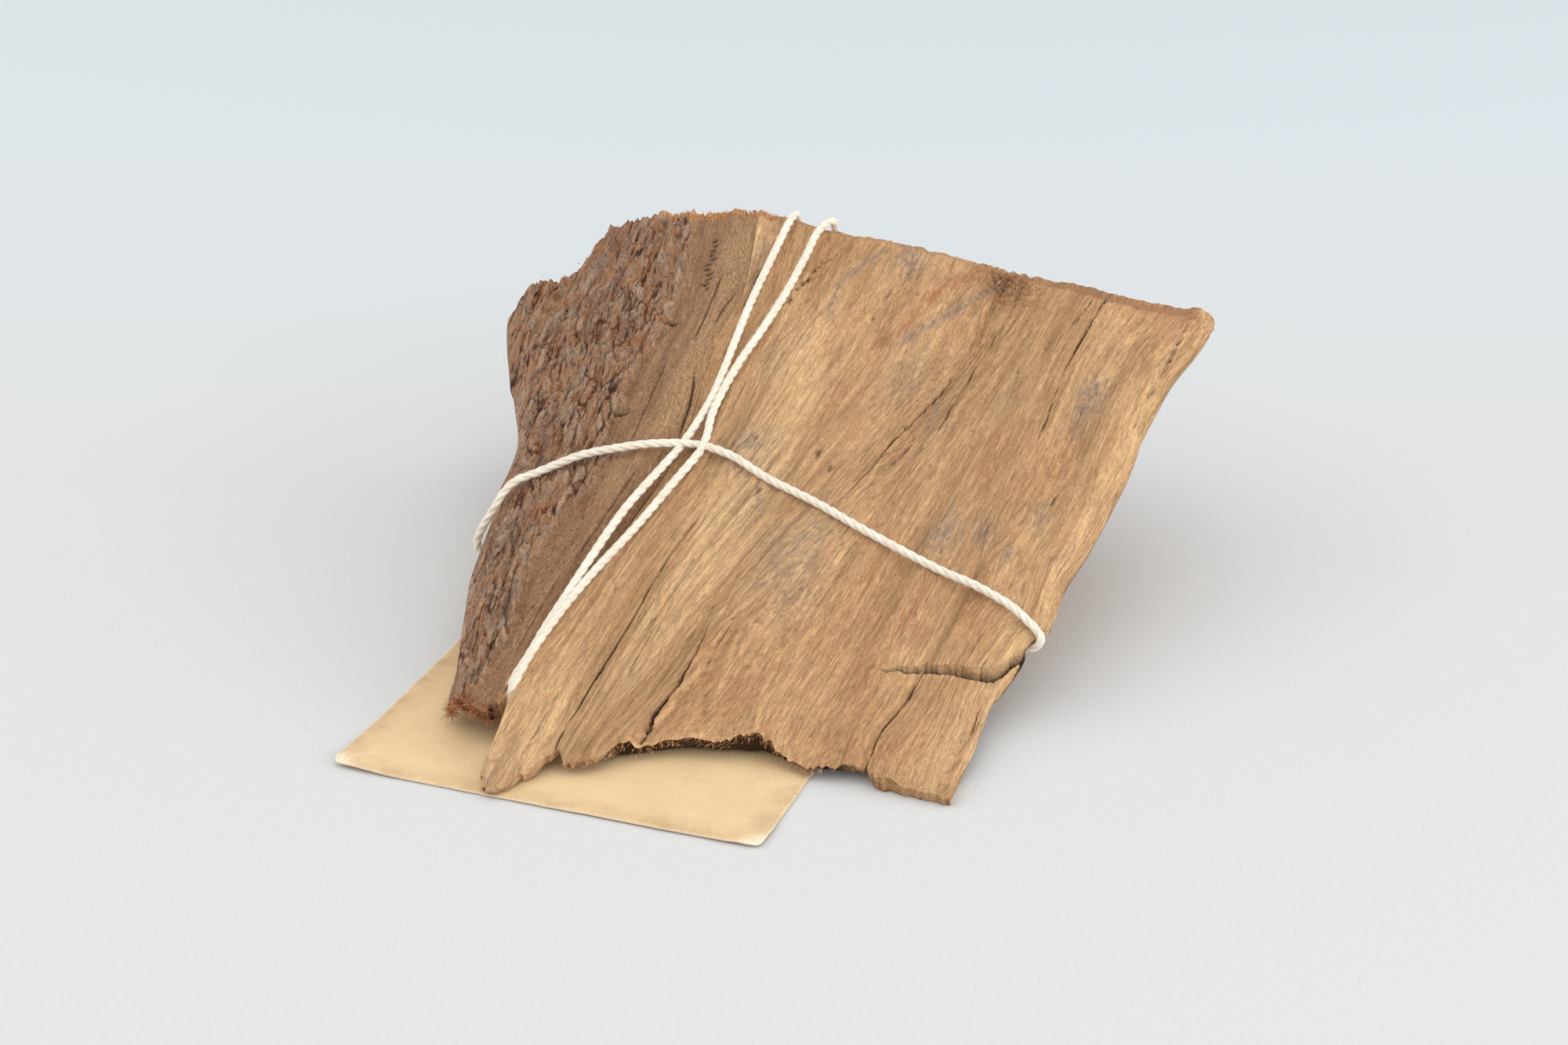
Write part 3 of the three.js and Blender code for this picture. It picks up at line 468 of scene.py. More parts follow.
def under_face(u, w):
    """The underside: a heel at the back, a hollow for the string, and flanks that rise."""
    left = follow(BARK_EDGE, w)
    right = follow(RIGHT_EDGE, w)
    bark_flank = bark_face(left, w) - 2.2 - 1.25 * (u - left)
    notch = np.exp(-((w - 44.6) / 3.4) ** 2)
    right_flank = wood_face(right, w) - mix(2.4, 1.1, notch) - mix(0.62, 0.4, notch) * (right - u)
    lane = smooth(8, 5, np.abs(u + 43))
    heel = smooth(75, 84, w) * (1 - 0.85 * lane)
    rough = 0.8 + relief(UNDER_RIBS, u, w) + relief(UNDER_SWELLS, u, w) + 0.16 * noise(u / 0.8, w / 16)
    heel_height = CARD_THICK + TOUCH_GAP
    floor = heel_height + (HOLLOW_HEIGHT - heel_height + rough) * (1 - heel)
    inward = w - along_lines(FRONT_EDGE, u)
    behind_lip = smooth(0.5, 1.7, inward)
    left_of_corner = 1 - smooth(8, 16, u)
    belly = behind_lip * (1 - smooth(13, 27, inward)) * smooth(-33, -29.5, u) * left_of_corner
    floor = floor - BELLY_DROP * belly
    lip = smooth(-32, -29.5, u) * left_of_corner * (1 - behind_lip)
    z = np.maximum(np.maximum(bark_flank, right_flank), floor)
    tip = smooth(-41, -45, u) * smooth(-53, -50, u) * (1 - smooth(-11, -3, w))
    z = mix(z, heel_height, tip)
    corner = smooth(8, 14, u) * (1 - smooth(12, 26, w))
    z = mix(z, 0.02, corner)
    face = np.where(u < follow(RIDGE, w), bark_face(u, w), wood_face(u, w)) - edge_wear(u, w)
    thick = LEAST_THICK * mix(1, 0.75, notch) * mix(1, 0.5, lip)
    return np.maximum(np.minimum(z, face - thick), heel_height * (1 - corner))


def torn_edge_shade(u, w):
    """1 in the hollow under the torn front edge and under the bark's front end, where walls and underside
    get painted shade.
    """
    inward = w - along_lines(FRONT_EDGE, u)
    bark_end = 0.6 * smooth(-66, -62, u) * (1 - smooth(-53, -51.5, u)) * (1 - smooth(3, 8, inward))
    torn_edge = smooth(-31.5, -29.5, u) * (1 - smooth(4, 12, u)) * (1 - smooth(5, 14, inward))
    return np.maximum(bark_end, torn_edge)


def wood_surface(u, w):
    """The upper face of the wood with the split across the grain let in."""
    z = wood_top(u, w)
    floor = np.maximum(under_face(u, w) + 0.35, z - mix(2.5, 12, smooth(8, 22, u)))
    return mix(z, np.minimum(z, floor), split_gap(u, w))


def place(u, w, z):
    """From grain places to the part's own frame, still in mm."""
    c, s = math.cos(GRAIN_TURN), math.sin(GRAIN_TURN)
    return np.stack(np.broadcast_arrays(u * c + w * s - MIDDLE_X, w * c - u * s - MIDDLE_Y, z), axis=-1)


def way_in_frame(u, w, z):
    c, s = math.cos(GRAIN_TURN), math.sin(GRAIN_TURN)
    return np.array([u * c + w * s, w * c - u * s, z])


# Bodies woven along the grain

COARSE = 3
ROW_SAMPLES = 500
MEETING_STEPS = 14


def ragged_front(u):
    spikes = np.maximum(noise(u / 0.5, 21), 0) ** 2
    tip = 0.7 * noise(u / 0.5, 9) * smooth(-49.6, -48, u) * (1 - smooth(-38, -35, u))
    return along_lines(FRONT_EDGE, u) + 0.4 * noise(u / 1.4, 4) - 0.9 * spikes * smooth(-54, -50, u) + tip


def ragged_back(u):
    sawn = smooth(-4, 16, u)
    teeth = mix(0.3, 0.07, sawn) * noise(u / 1.1, 14)
    return along_lines(BACK_EDGE, u) + teeth + 0.35 * noise(u / 3.4, 18) * smooth(-30, -50, u)


def meet(columns, u_at, edge, start):
    w = np.full(len(columns), float(start))
    for _ in range(MEETING_STEPS):
        w = 0.5 * (w + edge(u_at(columns, w)))
    return w


def spread_rows(column, u_at, front, back, rows):
    """Rows along one grain line, closer together at its ends and at the split."""
    w = np.linspace(front, back, ROW_SAMPLES)
    u = u_at(np.full(ROW_SAMPLES, column), w)
    ends = np.exp((front - w) / 2.5) + np.exp((w - back) / 2.5)
    split = smooth(4, 9, u) * np.exp(-((w - split_edge(u)) / 1.3) ** 2)
    density = 1 + 1.6 * ends + 9 * split
    total = np.concatenate([[0], np.cumsum(0.5 * (density[1:] + density[:-1]))])
    return np.interp(np.linspace(0, total[-1], rows + 1), total, w)


def new_mesh(name, points, faces):
    mesh = bpy.data.meshes.new(name)
    mesh.from_pydata(np.asarray(points).tolist(), [], faces)
    mesh.update()
    return mesh


def new_piece(name, mesh):
    piece = bpy.data.objects.new(name, mesh)
    bpy.context.scene.collection.objects.link(piece)
    return piece


def store(mesh, name, values):
    """Keeps numbers, or triples of them, on a mesh's points."""
    values = np.asarray(values, np.float32)
    if values.ndim == 2:
        mesh.attributes.new(name, "FLOAT_VECTOR", "POINT").data.foreach_set("vector", values.ravel())
    else:
        mesh.attributes.new(name, "FLOAT", "POINT").data.foreach_set("value", values)


def woven_body(name, columns, u_at, top_at, marks_at, rows, wall_rows):
    """A closed body with a fine upper sheet, a coarse lower one and walls between them."""
    count = len(columns)
    front = meet(columns, u_at, ragged_front, 5)
    back = meet(columns, u_at, ragged_back, 118)
    w = np.stack([spread_rows(c, u_at, f, b, rows) for c, f, b in zip(columns, front, back)], axis=1)
    column = np.broadcast_to(columns, w.shape)
    u = u_at(column, w)
    top = place(u, w, top_at(u, w))
    along = (w - front) / (back - front)
    tall = np.maximum(top_at(u_at(columns, back), back) - under_face(u_at(columns, back), back), 0)
    inset = np.zeros(count)
    inset[0], inset[-1] = 0.6, -0.6
    under_w = mix(front + 0.6, back - 0.25 * tall, along)
    under_u = u_at(column, under_w) + inset
    under = place(under_u, under_w, np.minimum(under_face(under_u, under_w), top[..., 2] - 0.4))

    rim = rim_order(rows, count)
    walls = wall_rings(top[rim], under[rim], u[rim], w[rim], rim[0] == 0, rim[0] == rows,
                       rim[1] == count - 1, wall_rows)
    coarse_under = under[::COARSE, ::COARSE]
    points = np.concatenate([top.reshape(-1, 3)] + walls + [coarse_under.reshape(-1, 3)])
    top_index = np.arange(u.size).reshape(u.shape)
    under_start = u.size + len(rim[0]) * len(walls)
    under_index = under_start + np.arange(coarse_under[..., 0].size).reshape(coarse_under.shape[:2])
    mesh = new_mesh(name, points * MM, body_faces(top_index, under_index, rim, wall_rows))
    depth = wood_face(u, w) - top[..., 2]
    height = top[rim][:, 2] - under[rim][:, 2]
    mark_body(mesh, marks_at, (u, w, depth), (under_u, under_w), rim, height, wall_rows)
    return mesh


def rim_order(rows, count):
    """The rows and columns of a sheet's rim, once round it."""
    rim = [(0, j) for j in range(count - 1)] + [(i, count - 1) for i in range(rows)]
    rim += [(rows, j) for j in range(count - 1, 0, -1)] + [(i, 0) for i in range(rows, 0, -1)]
    return tuple(np.array(rim).T)


def wall_rings(upper, lower, rim_u, rim_w, at_front, at_back, at_right, wall_rows):
    """Rings of points down the walls: chopped at the back, fibrous in front and on the right."""
    to_front = way_in_frame(0, -1, 0)
    to_right = way_in_frame(1, 0, 0)
    tall = smooth(4, 20, upper[:, 2] - lower[:, 2])
    on_right = at_right & ~at_back & ~at_front
    rings = []
    for k in range(1, wall_rows):
        t = k / wall_rows
        p = mix(upper, lower, t)
        x, z = p[:, 0], p[:, 2]
        dents = 1.1 + noise(x / 9, z / 8) + 0.5 * noise(x / 4, z / 5)
        chops = 0.9 * np.abs(noise(x / 6 + z / 14, z / 5 + 7)) + 0.2 * noise(x / 0.8, z / 1.6)
        chops = chops + 0.35 * np.abs(noise(x / 1.7, z / 9 + 3))
        dent = (CUT_RELIEF * dents + chops) * tall * math.sin(math.pi * min(2 * t, 1) / 2)
        fibres = 0.18 * noise(rim_u / 0.5, z / 0.6) * math.sin(math.pi * t)
        side = 0.16 * noise(rim_w / 7, z / 0.35) * math.sin(math.pi * t)
        p = p + np.outer(dent * at_back, to_front) - np.outer(fibres * at_front, to_front)
        rings.append(p + np.outer(side * on_right, to_right))
    return rings


def body_faces(top_index, under_index, rim, wall_rows):
    """Faces of both sheets and of the walls, which end on the lower sheet's coarser rim."""
    ring = len(rim[0])
    rings = [top_index[rim]] + [top_index.size + ring * k + np.arange(ring) for k in range(wall_rows - 1)]
    quads = [grid_faces(top_index), grid_faces(under_index)[:, ::-1]]
    for upper, lower in zip(rings[:-1], rings[1:]):
        quads.append(np.stack([np.roll(upper, -1), upper, lower, np.roll(lower, -1)], axis=1))
    coarse = under_index[rim[0][::COARSE] // COARSE, rim[1][::COARSE] // COARSE]
    next_coarse = np.roll(coarse, -1)
    f0, f1, f2 = [rings[-1][k::COARSE] for k in range(COARSE)]
    f3 = np.roll(f0, -1)
    quads.append(np.stack([f2, f1, coarse, next_coarse], axis=1))
    triangles = np.concatenate([np.stack([f1, f0, coarse], 1), np.stack([f3, f2, next_coarse], 1)])
    return np.concatenate(quads).tolist() + triangles.tolist()


def mark_body(mesh, marks_at, upper, lower, rim, height, wall_rows):
    """Stores the marks, the grain places and the cut faces of a woven body on its points, and paints shade
    on the walls and underside below the torn front edge.
    """
    u, w, depth = upper
    under_u, under_w = [values[::COARSE, ::COARSE] for values in lower]
    rim_u, rim_w = u[rim], w[rim]
    at_front, at_back = rim[0] == 0, rim[0] == len(u) - 1
    marks = marks_at(u, w)
    cut_top = marks.pop("cut")
    under_marks = marks_at(under_u, under_w)
    wall_depth = [height * k / wall_rows for k in range(1, wall_rows)]
    ragged = 1.3 * noise((rim_u + rim_w) / 1.7, 5) + 0.6 * noise((rim_u + rim_w) / 0.6, 9)
    wall_fade = [1 - smooth(1.2, 4.2, at + ragged) for at in wall_depth]
    for key, value in marks.items():
        # The dark mark also gets painted shade on the front walls and the underside below the torn edge
        shade = 0.95 * (key == "dark")
        gap = shade * torn_edge_shade(rim_u, rim_w) * at_front
        wall = []
        for k, fade in enumerate(wall_fade, 1):
            kept = value[rim] * mix(1, fade, key != "dark")
            wall.append(np.maximum(kept, gap * smooth(0.25, 0.6, k / wall_rows)))
        below = np.maximum(0.2 * under_marks[key], shade * torn_edge_shade(under_u, under_w))
        store(mesh, key, np.concatenate([value.ravel()] + wall + [below.ravel()]))
    number = grain_number(u, w)
    under_number = grain_number(under_u, under_w)
    under_depth = np.full(under_number.shape, 30.0)
    grain = [np.stack([number, w, depth], -1).reshape(-1, 3)]
    grain += [np.stack([number[rim], rim_w, at], -1) for at in wall_depth]
    grain.append(np.stack([under_number, under_w, under_depth], -1).reshape(-1, 3))
    store(mesh, "grain", np.concatenate(grain))
    cut = [cut_top.ravel()] + [at_back * 1.0] * (wall_rows - 1) + [np.zeros(under_number.size)]
    store(mesh, "cut", np.concatenate(cut))


def grid_faces(index):
    a, b = index[:-1, :-1], index[:-1, 1:]
    c, d = index[1:, 1:], index[1:, :-1]
    return np.stack([a, b, c, d], axis=-1).reshape(-1, 4)


def zoned_columns(counts):
    """Column numbers, whole at each guide line and closer together near them."""
    columns = []
    for zone, count in enumerate(counts):
        t = np.arange(count) / count
        columns.append(zone + t - 0.07 * np.sin(2 * math.pi * t))
    return np.concatenate(columns + [[len(counts)]])


def wood_u(column, w):
    guides = np.stack([follow(guide, w) for guide in WOOD_GUIDES])
    zone = np.clip(np.floor(column), 0, len(WOOD_GUIDES) - 2).astype(int)
    low = np.take_along_axis(guides, zone[None], axis=0)[0]
    high = np.take_along_axis(guides, zone[None] + 1, axis=0)[0]
    return mix(low, high, column - zone)


def bark_u(column, w):
    return mix(follow(BARK_EDGE, w), follow(BARK_SEAM, w) + 0.7, column)


def wood_marks(u, w):
    """Where the wood is stained, reddened, pale, dark or cut, from 0 to 1; dark is partly painted shade."""
    number = wavy_grain(u, w)
    _, dark, _ = crack_shape(u, w)
    along_edge = follow(RIGHT_EDGE, w) - u
    bevel = (1 - smooth(1.5, 5.5, along_edge)) * smooth(10, 30, w)
    left_strip = (1 - smooth(-42, -35, number)) * (1 - smooth(20, 60, w))
    tip = (1 - smooth(-12, -2, w)) * 0.4
    torn = (1 - smooth(0, 1.2, w - ragged_front(u))) * smooth(-33, -28, u) * (1 - smooth(-2, 6, u))
    from_back = ragged_back(u) - w + 0.4 * noise(u / 2, 3)
    past_band = smooth(2.6, 3.6, from_back - 1.8 * smooth(14, 17, u))
    back_band = smooth(-2, 17, u) * (1 - smooth(38, 40, u)) * (1 - past_band)
    # Painted shadow along the edge of each torn layer
    ledge_shadow = smooth(0.03, 0.16, np.abs(layer_steps(u, w) - layer_steps(u - 0.22, w)))
    swirl = smooth(-0.1, -0.8, knot_swirl(u, w))
    marks = {
        "stain": patches(GREY_STAINS, u, w) + streaks(GREY_STREAKS, u, w) + 0.5 * tip,
        "red": patches(RED_PATCHES, u, w) + streaks(RED_STREAKS, u, w) + 0.4 * torn + 0.75 * back_band,
        "pale": patches(PALE_PATCHES, u, w) + 0.5 * bevel + 0.5 * left_strip + 0.6 * torn,
        # dark holds dark patches and the knot's swirl, and painted shade in the cracks, the split and along
        # the layer ledges
        "dark": dark + patches(DARK_PATCHES, u, w) + split_gap(u, w) + 0.3 * ledge_shadow + 0.18 * swirl,
        "cut": 0.8 * back_band,
    }
    return {name: np.clip(values, 0, 1) for name, values in marks.items()}


def bark_marks(u, w):
    """Where the bark is rough, where its creases get painted shade, where it is rusty or dark, and each
    flake's own tone.
    """
    lean = u + 0.14 * w
    rough = bark_rough(u, w)
    _, crease, tone = bark_flakes(u, w)
    rust = patches(RUST_PATCHES, u, w) + 0.6 * smooth(0.15, 0.7, noise(lean / 2.6 + 50, w / 8))
    holes = np.minimum(patches(BARK_PITS, u, w), 1) + streaks(BARK_STREAKS, u, w) + pit_row(u, w)
    return {
        "rough": rough,
        "crack": crease * rough,
        "tone": tone,
        "rust": np.clip(rust * rough, 0, 1),
        "dark": np.clip(holes, 0, 1),
        "torn": bark_torn(u, w),
        "pale": 0.65 * smooth(-10, -3, u - follow(BARK_SEAM, w)) * smooth(48, 66, w),
        "cut": 0 * u,
    }


# Shader nodes

def hue(red, green, blue):
    """A colour as seen on a screen, 0 to 255, as the shader's own numbers."""
    values = [c / 255 for c in (red, green, blue)]
    return [c / 12.92 if c <= 0.04045 else ((c + 0.055) / 1.055) ** 2.4 for c in values] + [1.0]


def add(tree, kind, inputs=None, **settings):
    """Adds a node, sets it up and fills its inputs with values or links."""
    made = tree.nodes.new(kind)
    for name, value in settings.items():
        setattr(made, name, value)
    for key, value in (inputs or {}).items():
        if isinstance(value, bpy.types.NodeSocket):
            tree.links.new(value, made.inputs[key])
        else:
            made.inputs[key].default_value = value
    return made


def node(tree, kind, inputs=None, output=0, **settings):
    """Adds a node and gives one of its outputs."""
    return add(tree, kind, inputs, **settings).outputs[output]


def mark(tree, name, output="Fac"):
    return node(tree, "ShaderNodeAttribute", None, output, attribute_name=name)


def pattern(tree, vector, lengths, detail, roughness, distortion=0.0):
    """A noise whose swells have these lengths across, along and through the piece."""
    scale = [1 / length for length in lengths]
    at = node(tree, "ShaderNodeVectorMath", {0: vector, 1: scale}, operation="MULTIPLY")
    inputs = {"Vector": at, "Scale": 1.0, "Detail": detail, "Roughness": roughness}
    return node(tree, "ShaderNodeTexNoise", inputs | {"Distortion": distortion})


def between(tree, value, low, high, to_low=0.0, to_high=1.0):
    inputs = {0: value, 1: low, 2: high, 3: to_low, 4: to_high}
    return node(tree, "ShaderNodeMapRange", inputs)


def sums(tree, operation, a, b=0.0):
    return node(tree, "ShaderNodeMath", {0: a, 1: b}, operation=operation)


def times(tree, a, b):
    return sums(tree, "MULTIPLY", a, b)


def plus(tree, a, b):
    return sums(tree, "ADD", a, b)


def blend(tree, factor, a, b, how="MIX"):
    return node(tree, "ShaderNodeMix", {0: factor, 6: a, 7: b}, 2, data_type="RGBA", blend_type=how)


def lay(tree, color, over, value, low, high, least=0.0, most=1.0):
    """Lays one colour over another where a pattern is high."""
    return blend(tree, between(tree, value, low, high, least, most), color, over)


def lay_marked(tree, color, over, name, value, low, high, least, most):
    """Lays one colour over another where the piece is marked, broken up by a pattern."""
    share = times(tree, mark(tree, name), between(tree, value, low, high, least, most))
    return blend(tree, share, color, over)


def tint(tree, color, value, low, high, dark, light):
    """Darkens and lightens a colour with a pattern."""
    level = between(tree, value, low, high, dark, light)
    grey = node(tree, "ShaderNodeCombineColor", {0: level, 1: level, 2: level})
    return blend(tree, 1.0, color, grey, "MULTIPLY")


def bump(tree, height, strength, distance, normal=None):
    inputs = {"Height": height, "Strength": strength, "Distance": distance}
    if normal is not None:
        inputs["Normal"] = normal
    return node(tree, "ShaderNodeBump", inputs)


def new_material(name):
    material = bpy.data.materials.new(name)
    material.use_nodes = True
    material.node_tree.nodes.clear()
    return material, material.node_tree


def finish_material(tree, color, roughness, normal, **sockets):
    inputs = {"Base Color": color, "Roughness": roughness, "Normal": normal}
    shader = add(tree, "ShaderNodeBsdfPrincipled", inputs)
    for name, value in sockets.items():
        shader.inputs[name.replace("_", " ")].default_value = value
    add(tree, "ShaderNodeOutputMaterial", {"Surface": shader.outputs[0]})


# Finishes

WOOD_TAN = hue(199, 156, 112)
WOOD_PALE = hue(224, 185, 136)
WOOD_BROWN = hue(160, 116, 78)
WOOD_RED = hue(168, 112, 74)
WOOD_GREY = hue(134, 121, 110)
WOOD_DARK = hue(44, 27, 15)
WOOD_CUT = hue(163, 118, 82)


def split_wood():
    material, tree = new_material("split_wood")
    grain = mark(tree, "grain", "Vector")
    broad = pattern(tree, grain, (8, 34, 8), 4, 0.6)
    bands = pattern(tree, grain, (1.5, 30, 1.5), 4, 0.62)
    fibres = pattern(tree, grain, (0.34, 5.5, 0.34), 4, 0.7, 0.3)
    hairs = pattern(tree, grain, (0.15, 1.6, 0.15), 3, 0.7)
    sand = pattern(tree, grain, (0.4, 0.6, 0.4), 3, 0.7)
    mottle = pattern(tree, grain, (1.0, 1.7, 1.0), 4, 0.65)

    color = lay(tree, WOOD_TAN, WOOD_BROWN, broad, 0.38, 0.64, 0, 0.62)
    color = lay(tree, color, WOOD_PALE, bands, 0.5, 0.68, 0, 0.4)
    color = lay(tree, color, WOOD_BROWN, bands, 0.34, 0.44, 0.3, 0)
    color = lay_marked(tree, color, WOOD_PALE, "pale", bands, 0.36, 0.6, 0.35, 0.95)
    color = lay_marked(tree, color, WOOD_RED, "red", mottle, 0.36, 0.6, 0.25, 0.9)
    color = lay(tree, color, WOOD_RED, mottle, 0.54, 0.72, 0, 0.4)
    color = lay_marked(tree, color, WOOD_GREY, "stain", mottle, 0.38, 0.58, 0.12, 0.85)
    color = blend(tree, times(tree, mark(tree, "cut"), 0.7), color, WOOD_CUT)
    color = tint(tree, color, fibres, 0.36, 0.64, 0.76, 1.19)
    color = tint(tree, color, hairs, 0.36, 0.64, 0.77, 1.17)
    color = tint(tree, color, sand, 0.34, 0.66, 0.9, 1.07)
    specks = times(tree, between(tree, hairs, 0.62, 0.72), between(tree, mottle, 0.52, 0.6))
    color = blend(tree, times(tree, specks, 0.4), color, WOOD_DARK)
    # Dark patches, with painted shade in the cracks, the split, the ledges and under the torn edge
    color = lay(tree, color, WOOD_DARK, mark(tree, "dark"), 0.12, 0.85, 0, 0.96)

    height = plus(tree, fibres, times(tree, hairs, 0.6))
    normal = bump(tree, bands, 0.25, 0.6 * MM)
    normal = bump(tree, height, 1.0, 0.36 * MM, normal)
    roughness = between(tree, fibres, 0.3, 0.7, 0.88, 0.72)
    finish_material(tree, color, roughness, normal, Specular_IOR_Level=0.25)
    return material


BARK_GREY = hue(156, 133, 115)
BARK_LIGHT = hue(192, 166, 140)
BARK_BROWN = hue(170, 126, 92)
BARK_INNER = hue(184, 142, 106)
BARK_INNER_DARK = hue(152, 112, 82)
BARK_PALE = hue(208, 166, 122)
BARK_RUST = hue(188, 124, 78)
BARK_RED = hue(134, 76, 48)
BARK_DARK = hue(58, 38, 26)
BARK_VIOLET = hue(130, 110, 100)


def rugged_bark():
    material, tree = new_material("rugged_bark")
    grain = mark(tree, "grain", "Vector")
    broad = pattern(tree, grain, (5, 12, 5), 3, 0.6)
    blotch = pattern(tree, grain, (2.0, 4.6, 2.0), 4, 0.68, 0.3)
    flecks = pattern(tree, grain, (0.8, 2.2, 0.8), 4, 0.7, 0.4)
    crumbs = pattern(tree, grain, (0.35, 0.8, 0.35), 3, 0.7)
    grit = pattern(tree, grain, (0.16, 0.3, 0.16), 2, 0.6)
    strands = pattern(tree, grain, (0.45, 5, 0.45), 4, 0.7, 0.4)
    hairs = pattern(tree, grain, (0.16, 1.8, 0.16), 3, 0.7)
    bands = pattern(tree, grain, (2.4, 20, 2.4), 4, 0.6)

    outer = lay(tree, BARK_BROWN, BARK_GREY, blotch, 0.4, 0.62, 0, 0.85)
    outer = lay(tree, outer, BARK_VIOLET, broad, 0.5, 0.68, 0, 0.5)
    outer = lay(tree, outer, BARK_LIGHT, mark(tree, "tone"), 0.5, 0.85, 0, 0.6)
    orange = times(tree, between(tree, blotch, 0.52, 0.4), between(tree, flecks, 0.45, 0.68, 0, 0.6))
    outer = blend(tree, orange, outer, BARK_RUST)
    rust_share = times(tree, mark(tree, "rust"), between(tree, flecks, 0.4, 0.66, 0.05, 0.6))
    outer = blend(tree, rust_share, outer, BARK_RUST)
    red_share = times(tree, rust_share, between(tree, crumbs, 0.52, 0.66))
    outer = blend(tree, red_share, outer, BARK_RED)
    inner = lay(tree, BARK_INNER, BARK_INNER_DARK, bands, 0.38, 0.62, 0, 0.8)
    inner = lay(tree, inner, WOOD_RED, broad, 0.52, 0.68, 0, 0.3)
    inner = lay(tree, inner, WOOD_TAN, strands, 0.54, 0.7, 0, 0.6)
    inner = lay_marked(tree, inner, BARK_PALE, "pale", strands, 0.36, 0.6, 0.3, 1.0)
    color = blend(tree, mark(tree, "rough"), inner, outer)
    color = tint(tree, color, hairs, 0.34, 0.66, 0.82, 1.12)
    color = tint(tree, color, crumbs, 0.34, 0.66, 0.7, 1.26)
    color = tint(tree, color, grit, 0.36, 0.64, 0.82, 1.15)
    # Painted shade in the creases of the rough bark
    crease_shade_color = lay(tree, BARK_DARK, BARK_RED, flecks, 0.45, 0.6)
    color = lay(tree, color, crease_shade_color, mark(tree, "crack"), 0.25, 0.8, 0, 0.92)
    torn_color = lay(tree, FIBRE_DARK, FIBRE_LIGHT, crumbs, 0.38, 0.62)
    color = blend(tree, times(tree, mark(tree, "torn"), 0.85), color, torn_color)
    # Dark pits and streaks, with painted shade under the bark's front end
    color = lay(tree, color, BARK_DARK, mark(tree, "dark"), 0.15, 0.85, 0, 0.92)

    rough_height = plus(tree, flecks, times(tree, crumbs, 0.8))
    smooth_height = plus(tree, strands, times(tree, hairs, 0.5))
    share = mark(tree, "rough")
    height = plus(tree, times(tree, rough_height, share),
                  times(tree, smooth_height, sums(tree, "SUBTRACT", 1.0, share)))
    normal = bump(tree, height, 1.0, 0.6 * MM)
    normal = bump(tree, hairs, 0.5, 0.2 * MM, normal)
    roughness = between(tree, crumbs, 0.3, 0.7, 0.95, 0.78)
    finish_material(tree, color, roughness, normal, Specular_IOR_Level=0.2)
    return material


FIBRE_LIGHT = hue(226, 174, 124)
FIBRE_DARK = hue(194, 136, 92)


def torn_fibre(name, light, dark):
    material, tree = new_material(name)
    where = node(tree, "ShaderNodeTexCoord", output="Object")
    spots = pattern(tree, where, [1.6 * MM] * 3, 3, 0.6)
    fine = pattern(tree, where, [0.2 * MM] * 3, 2, 0.6)
    color = lay(tree, dark, light, spots, 0.38, 0.62)
    finish_material(tree, color, between(tree, fine, 0.3, 0.7, 0.7, 0.9), bump(tree, fine, 0.3, 0.1 * MM),
                    Specular_IOR_Level=0.25)
    return material


COTTON = hue(240, 233, 219)
COTTON_SHADE = hue(214, 202, 180)


def cotton():
    material, tree = new_material("twisted_cotton")
    ply = mark(tree, "ply", "Vector")
    yarn = pattern(tree, ply, (0.07, 2.2 * MM, 1.0), 3, 0.6)
    soil = pattern(tree, ply, (4.0, 16 * MM, 1.0), 3, 0.6)
    where = node(tree, "ShaderNodeTexCoord", output="Object")
    dust = pattern(tree, where, [5 * MM] * 3, 3, 0.6)
    color = lay(tree, COTTON_SHADE, COTTON, yarn, 0.35, 0.68)
    color = lay(tree, color, COTTON_SHADE, dust, 0.5, 0.72, 0, 0.35)
    color = lay(tree, color, COTTON_SHADE, soil, 0.58, 0.74, 0, 0.3)
    finish_material(tree, color, between(tree, yarn, 0.3, 0.7, 0.95, 0.8), bump(tree, yarn, 0.6, 0.12 * MM),
                    Specular_IOR_Level=0.2, Sheen_Weight=0.25)
    return material


CARD_BUFF = hue(223, 193, 149)
CARD_DEEP = hue(206, 172, 126)
CARD_SOIL = hue(178, 146, 108)
CARD_WORN = hue(240, 226, 200)


def buff_card():
    material, tree = new_material("buff_card")
    flat = mark(tree, "flat", "Vector")
    edge = mark(tree, "edge")
    cloud = pattern(tree, flat, (16, 16, 16), 4, 0.6)
    fibres = pattern(tree, flat, (0.5, 1.6, 1), 4, 0.7, 0.6)
    cross = pattern(tree, flat, (1.8, 0.4, 1), 3, 0.7, 0.6)
    specks = pattern(tree, flat, (0.7, 0.7, 1), 2, 0.5)
    soil = pattern(tree, flat, (7, 5, 5), 4, 0.6)
    color = lay(tree, CARD_BUFF, CARD_DEEP, cloud, 0.38, 0.62, 0, 0.4)
    color = lay(tree, color, CARD_SOIL, soil, 0.58, 0.76, 0, 0.16)
    color = lay(tree, color, CARD_SOIL, specks, 0.7, 0.78, 0, 0.35)
    weave = plus(tree, fibres, cross)
    color = tint(tree, color, weave, 0.7, 1.3, 0.93, 1.05)
    handled = times(tree, between(tree, edge, 0.2, 5.0, 0.7, 0), between(tree, soil, 0.4, 0.62, 0.2, 1))
    color = blend(tree, handled, color, CARD_SOIL)
    color = lay_marked(tree, color, CARD_WORN, "worn", specks, 0.35, 0.6, 0.3, 1)
    roughness = between(tree, fibres, 0.3, 0.7, 0.86, 0.74)
    finish_material(tree, color, roughness, bump(tree, weave, 0.25, 0.1 * MM), Specular_IOR_Level=0.3)
    return material


FLOOR_NEAR = hue(203, 202, 200)
FLOOR_GRAIN = hue(206, 205, 203)
FLOOR_FAR = hue(201, 206, 209)


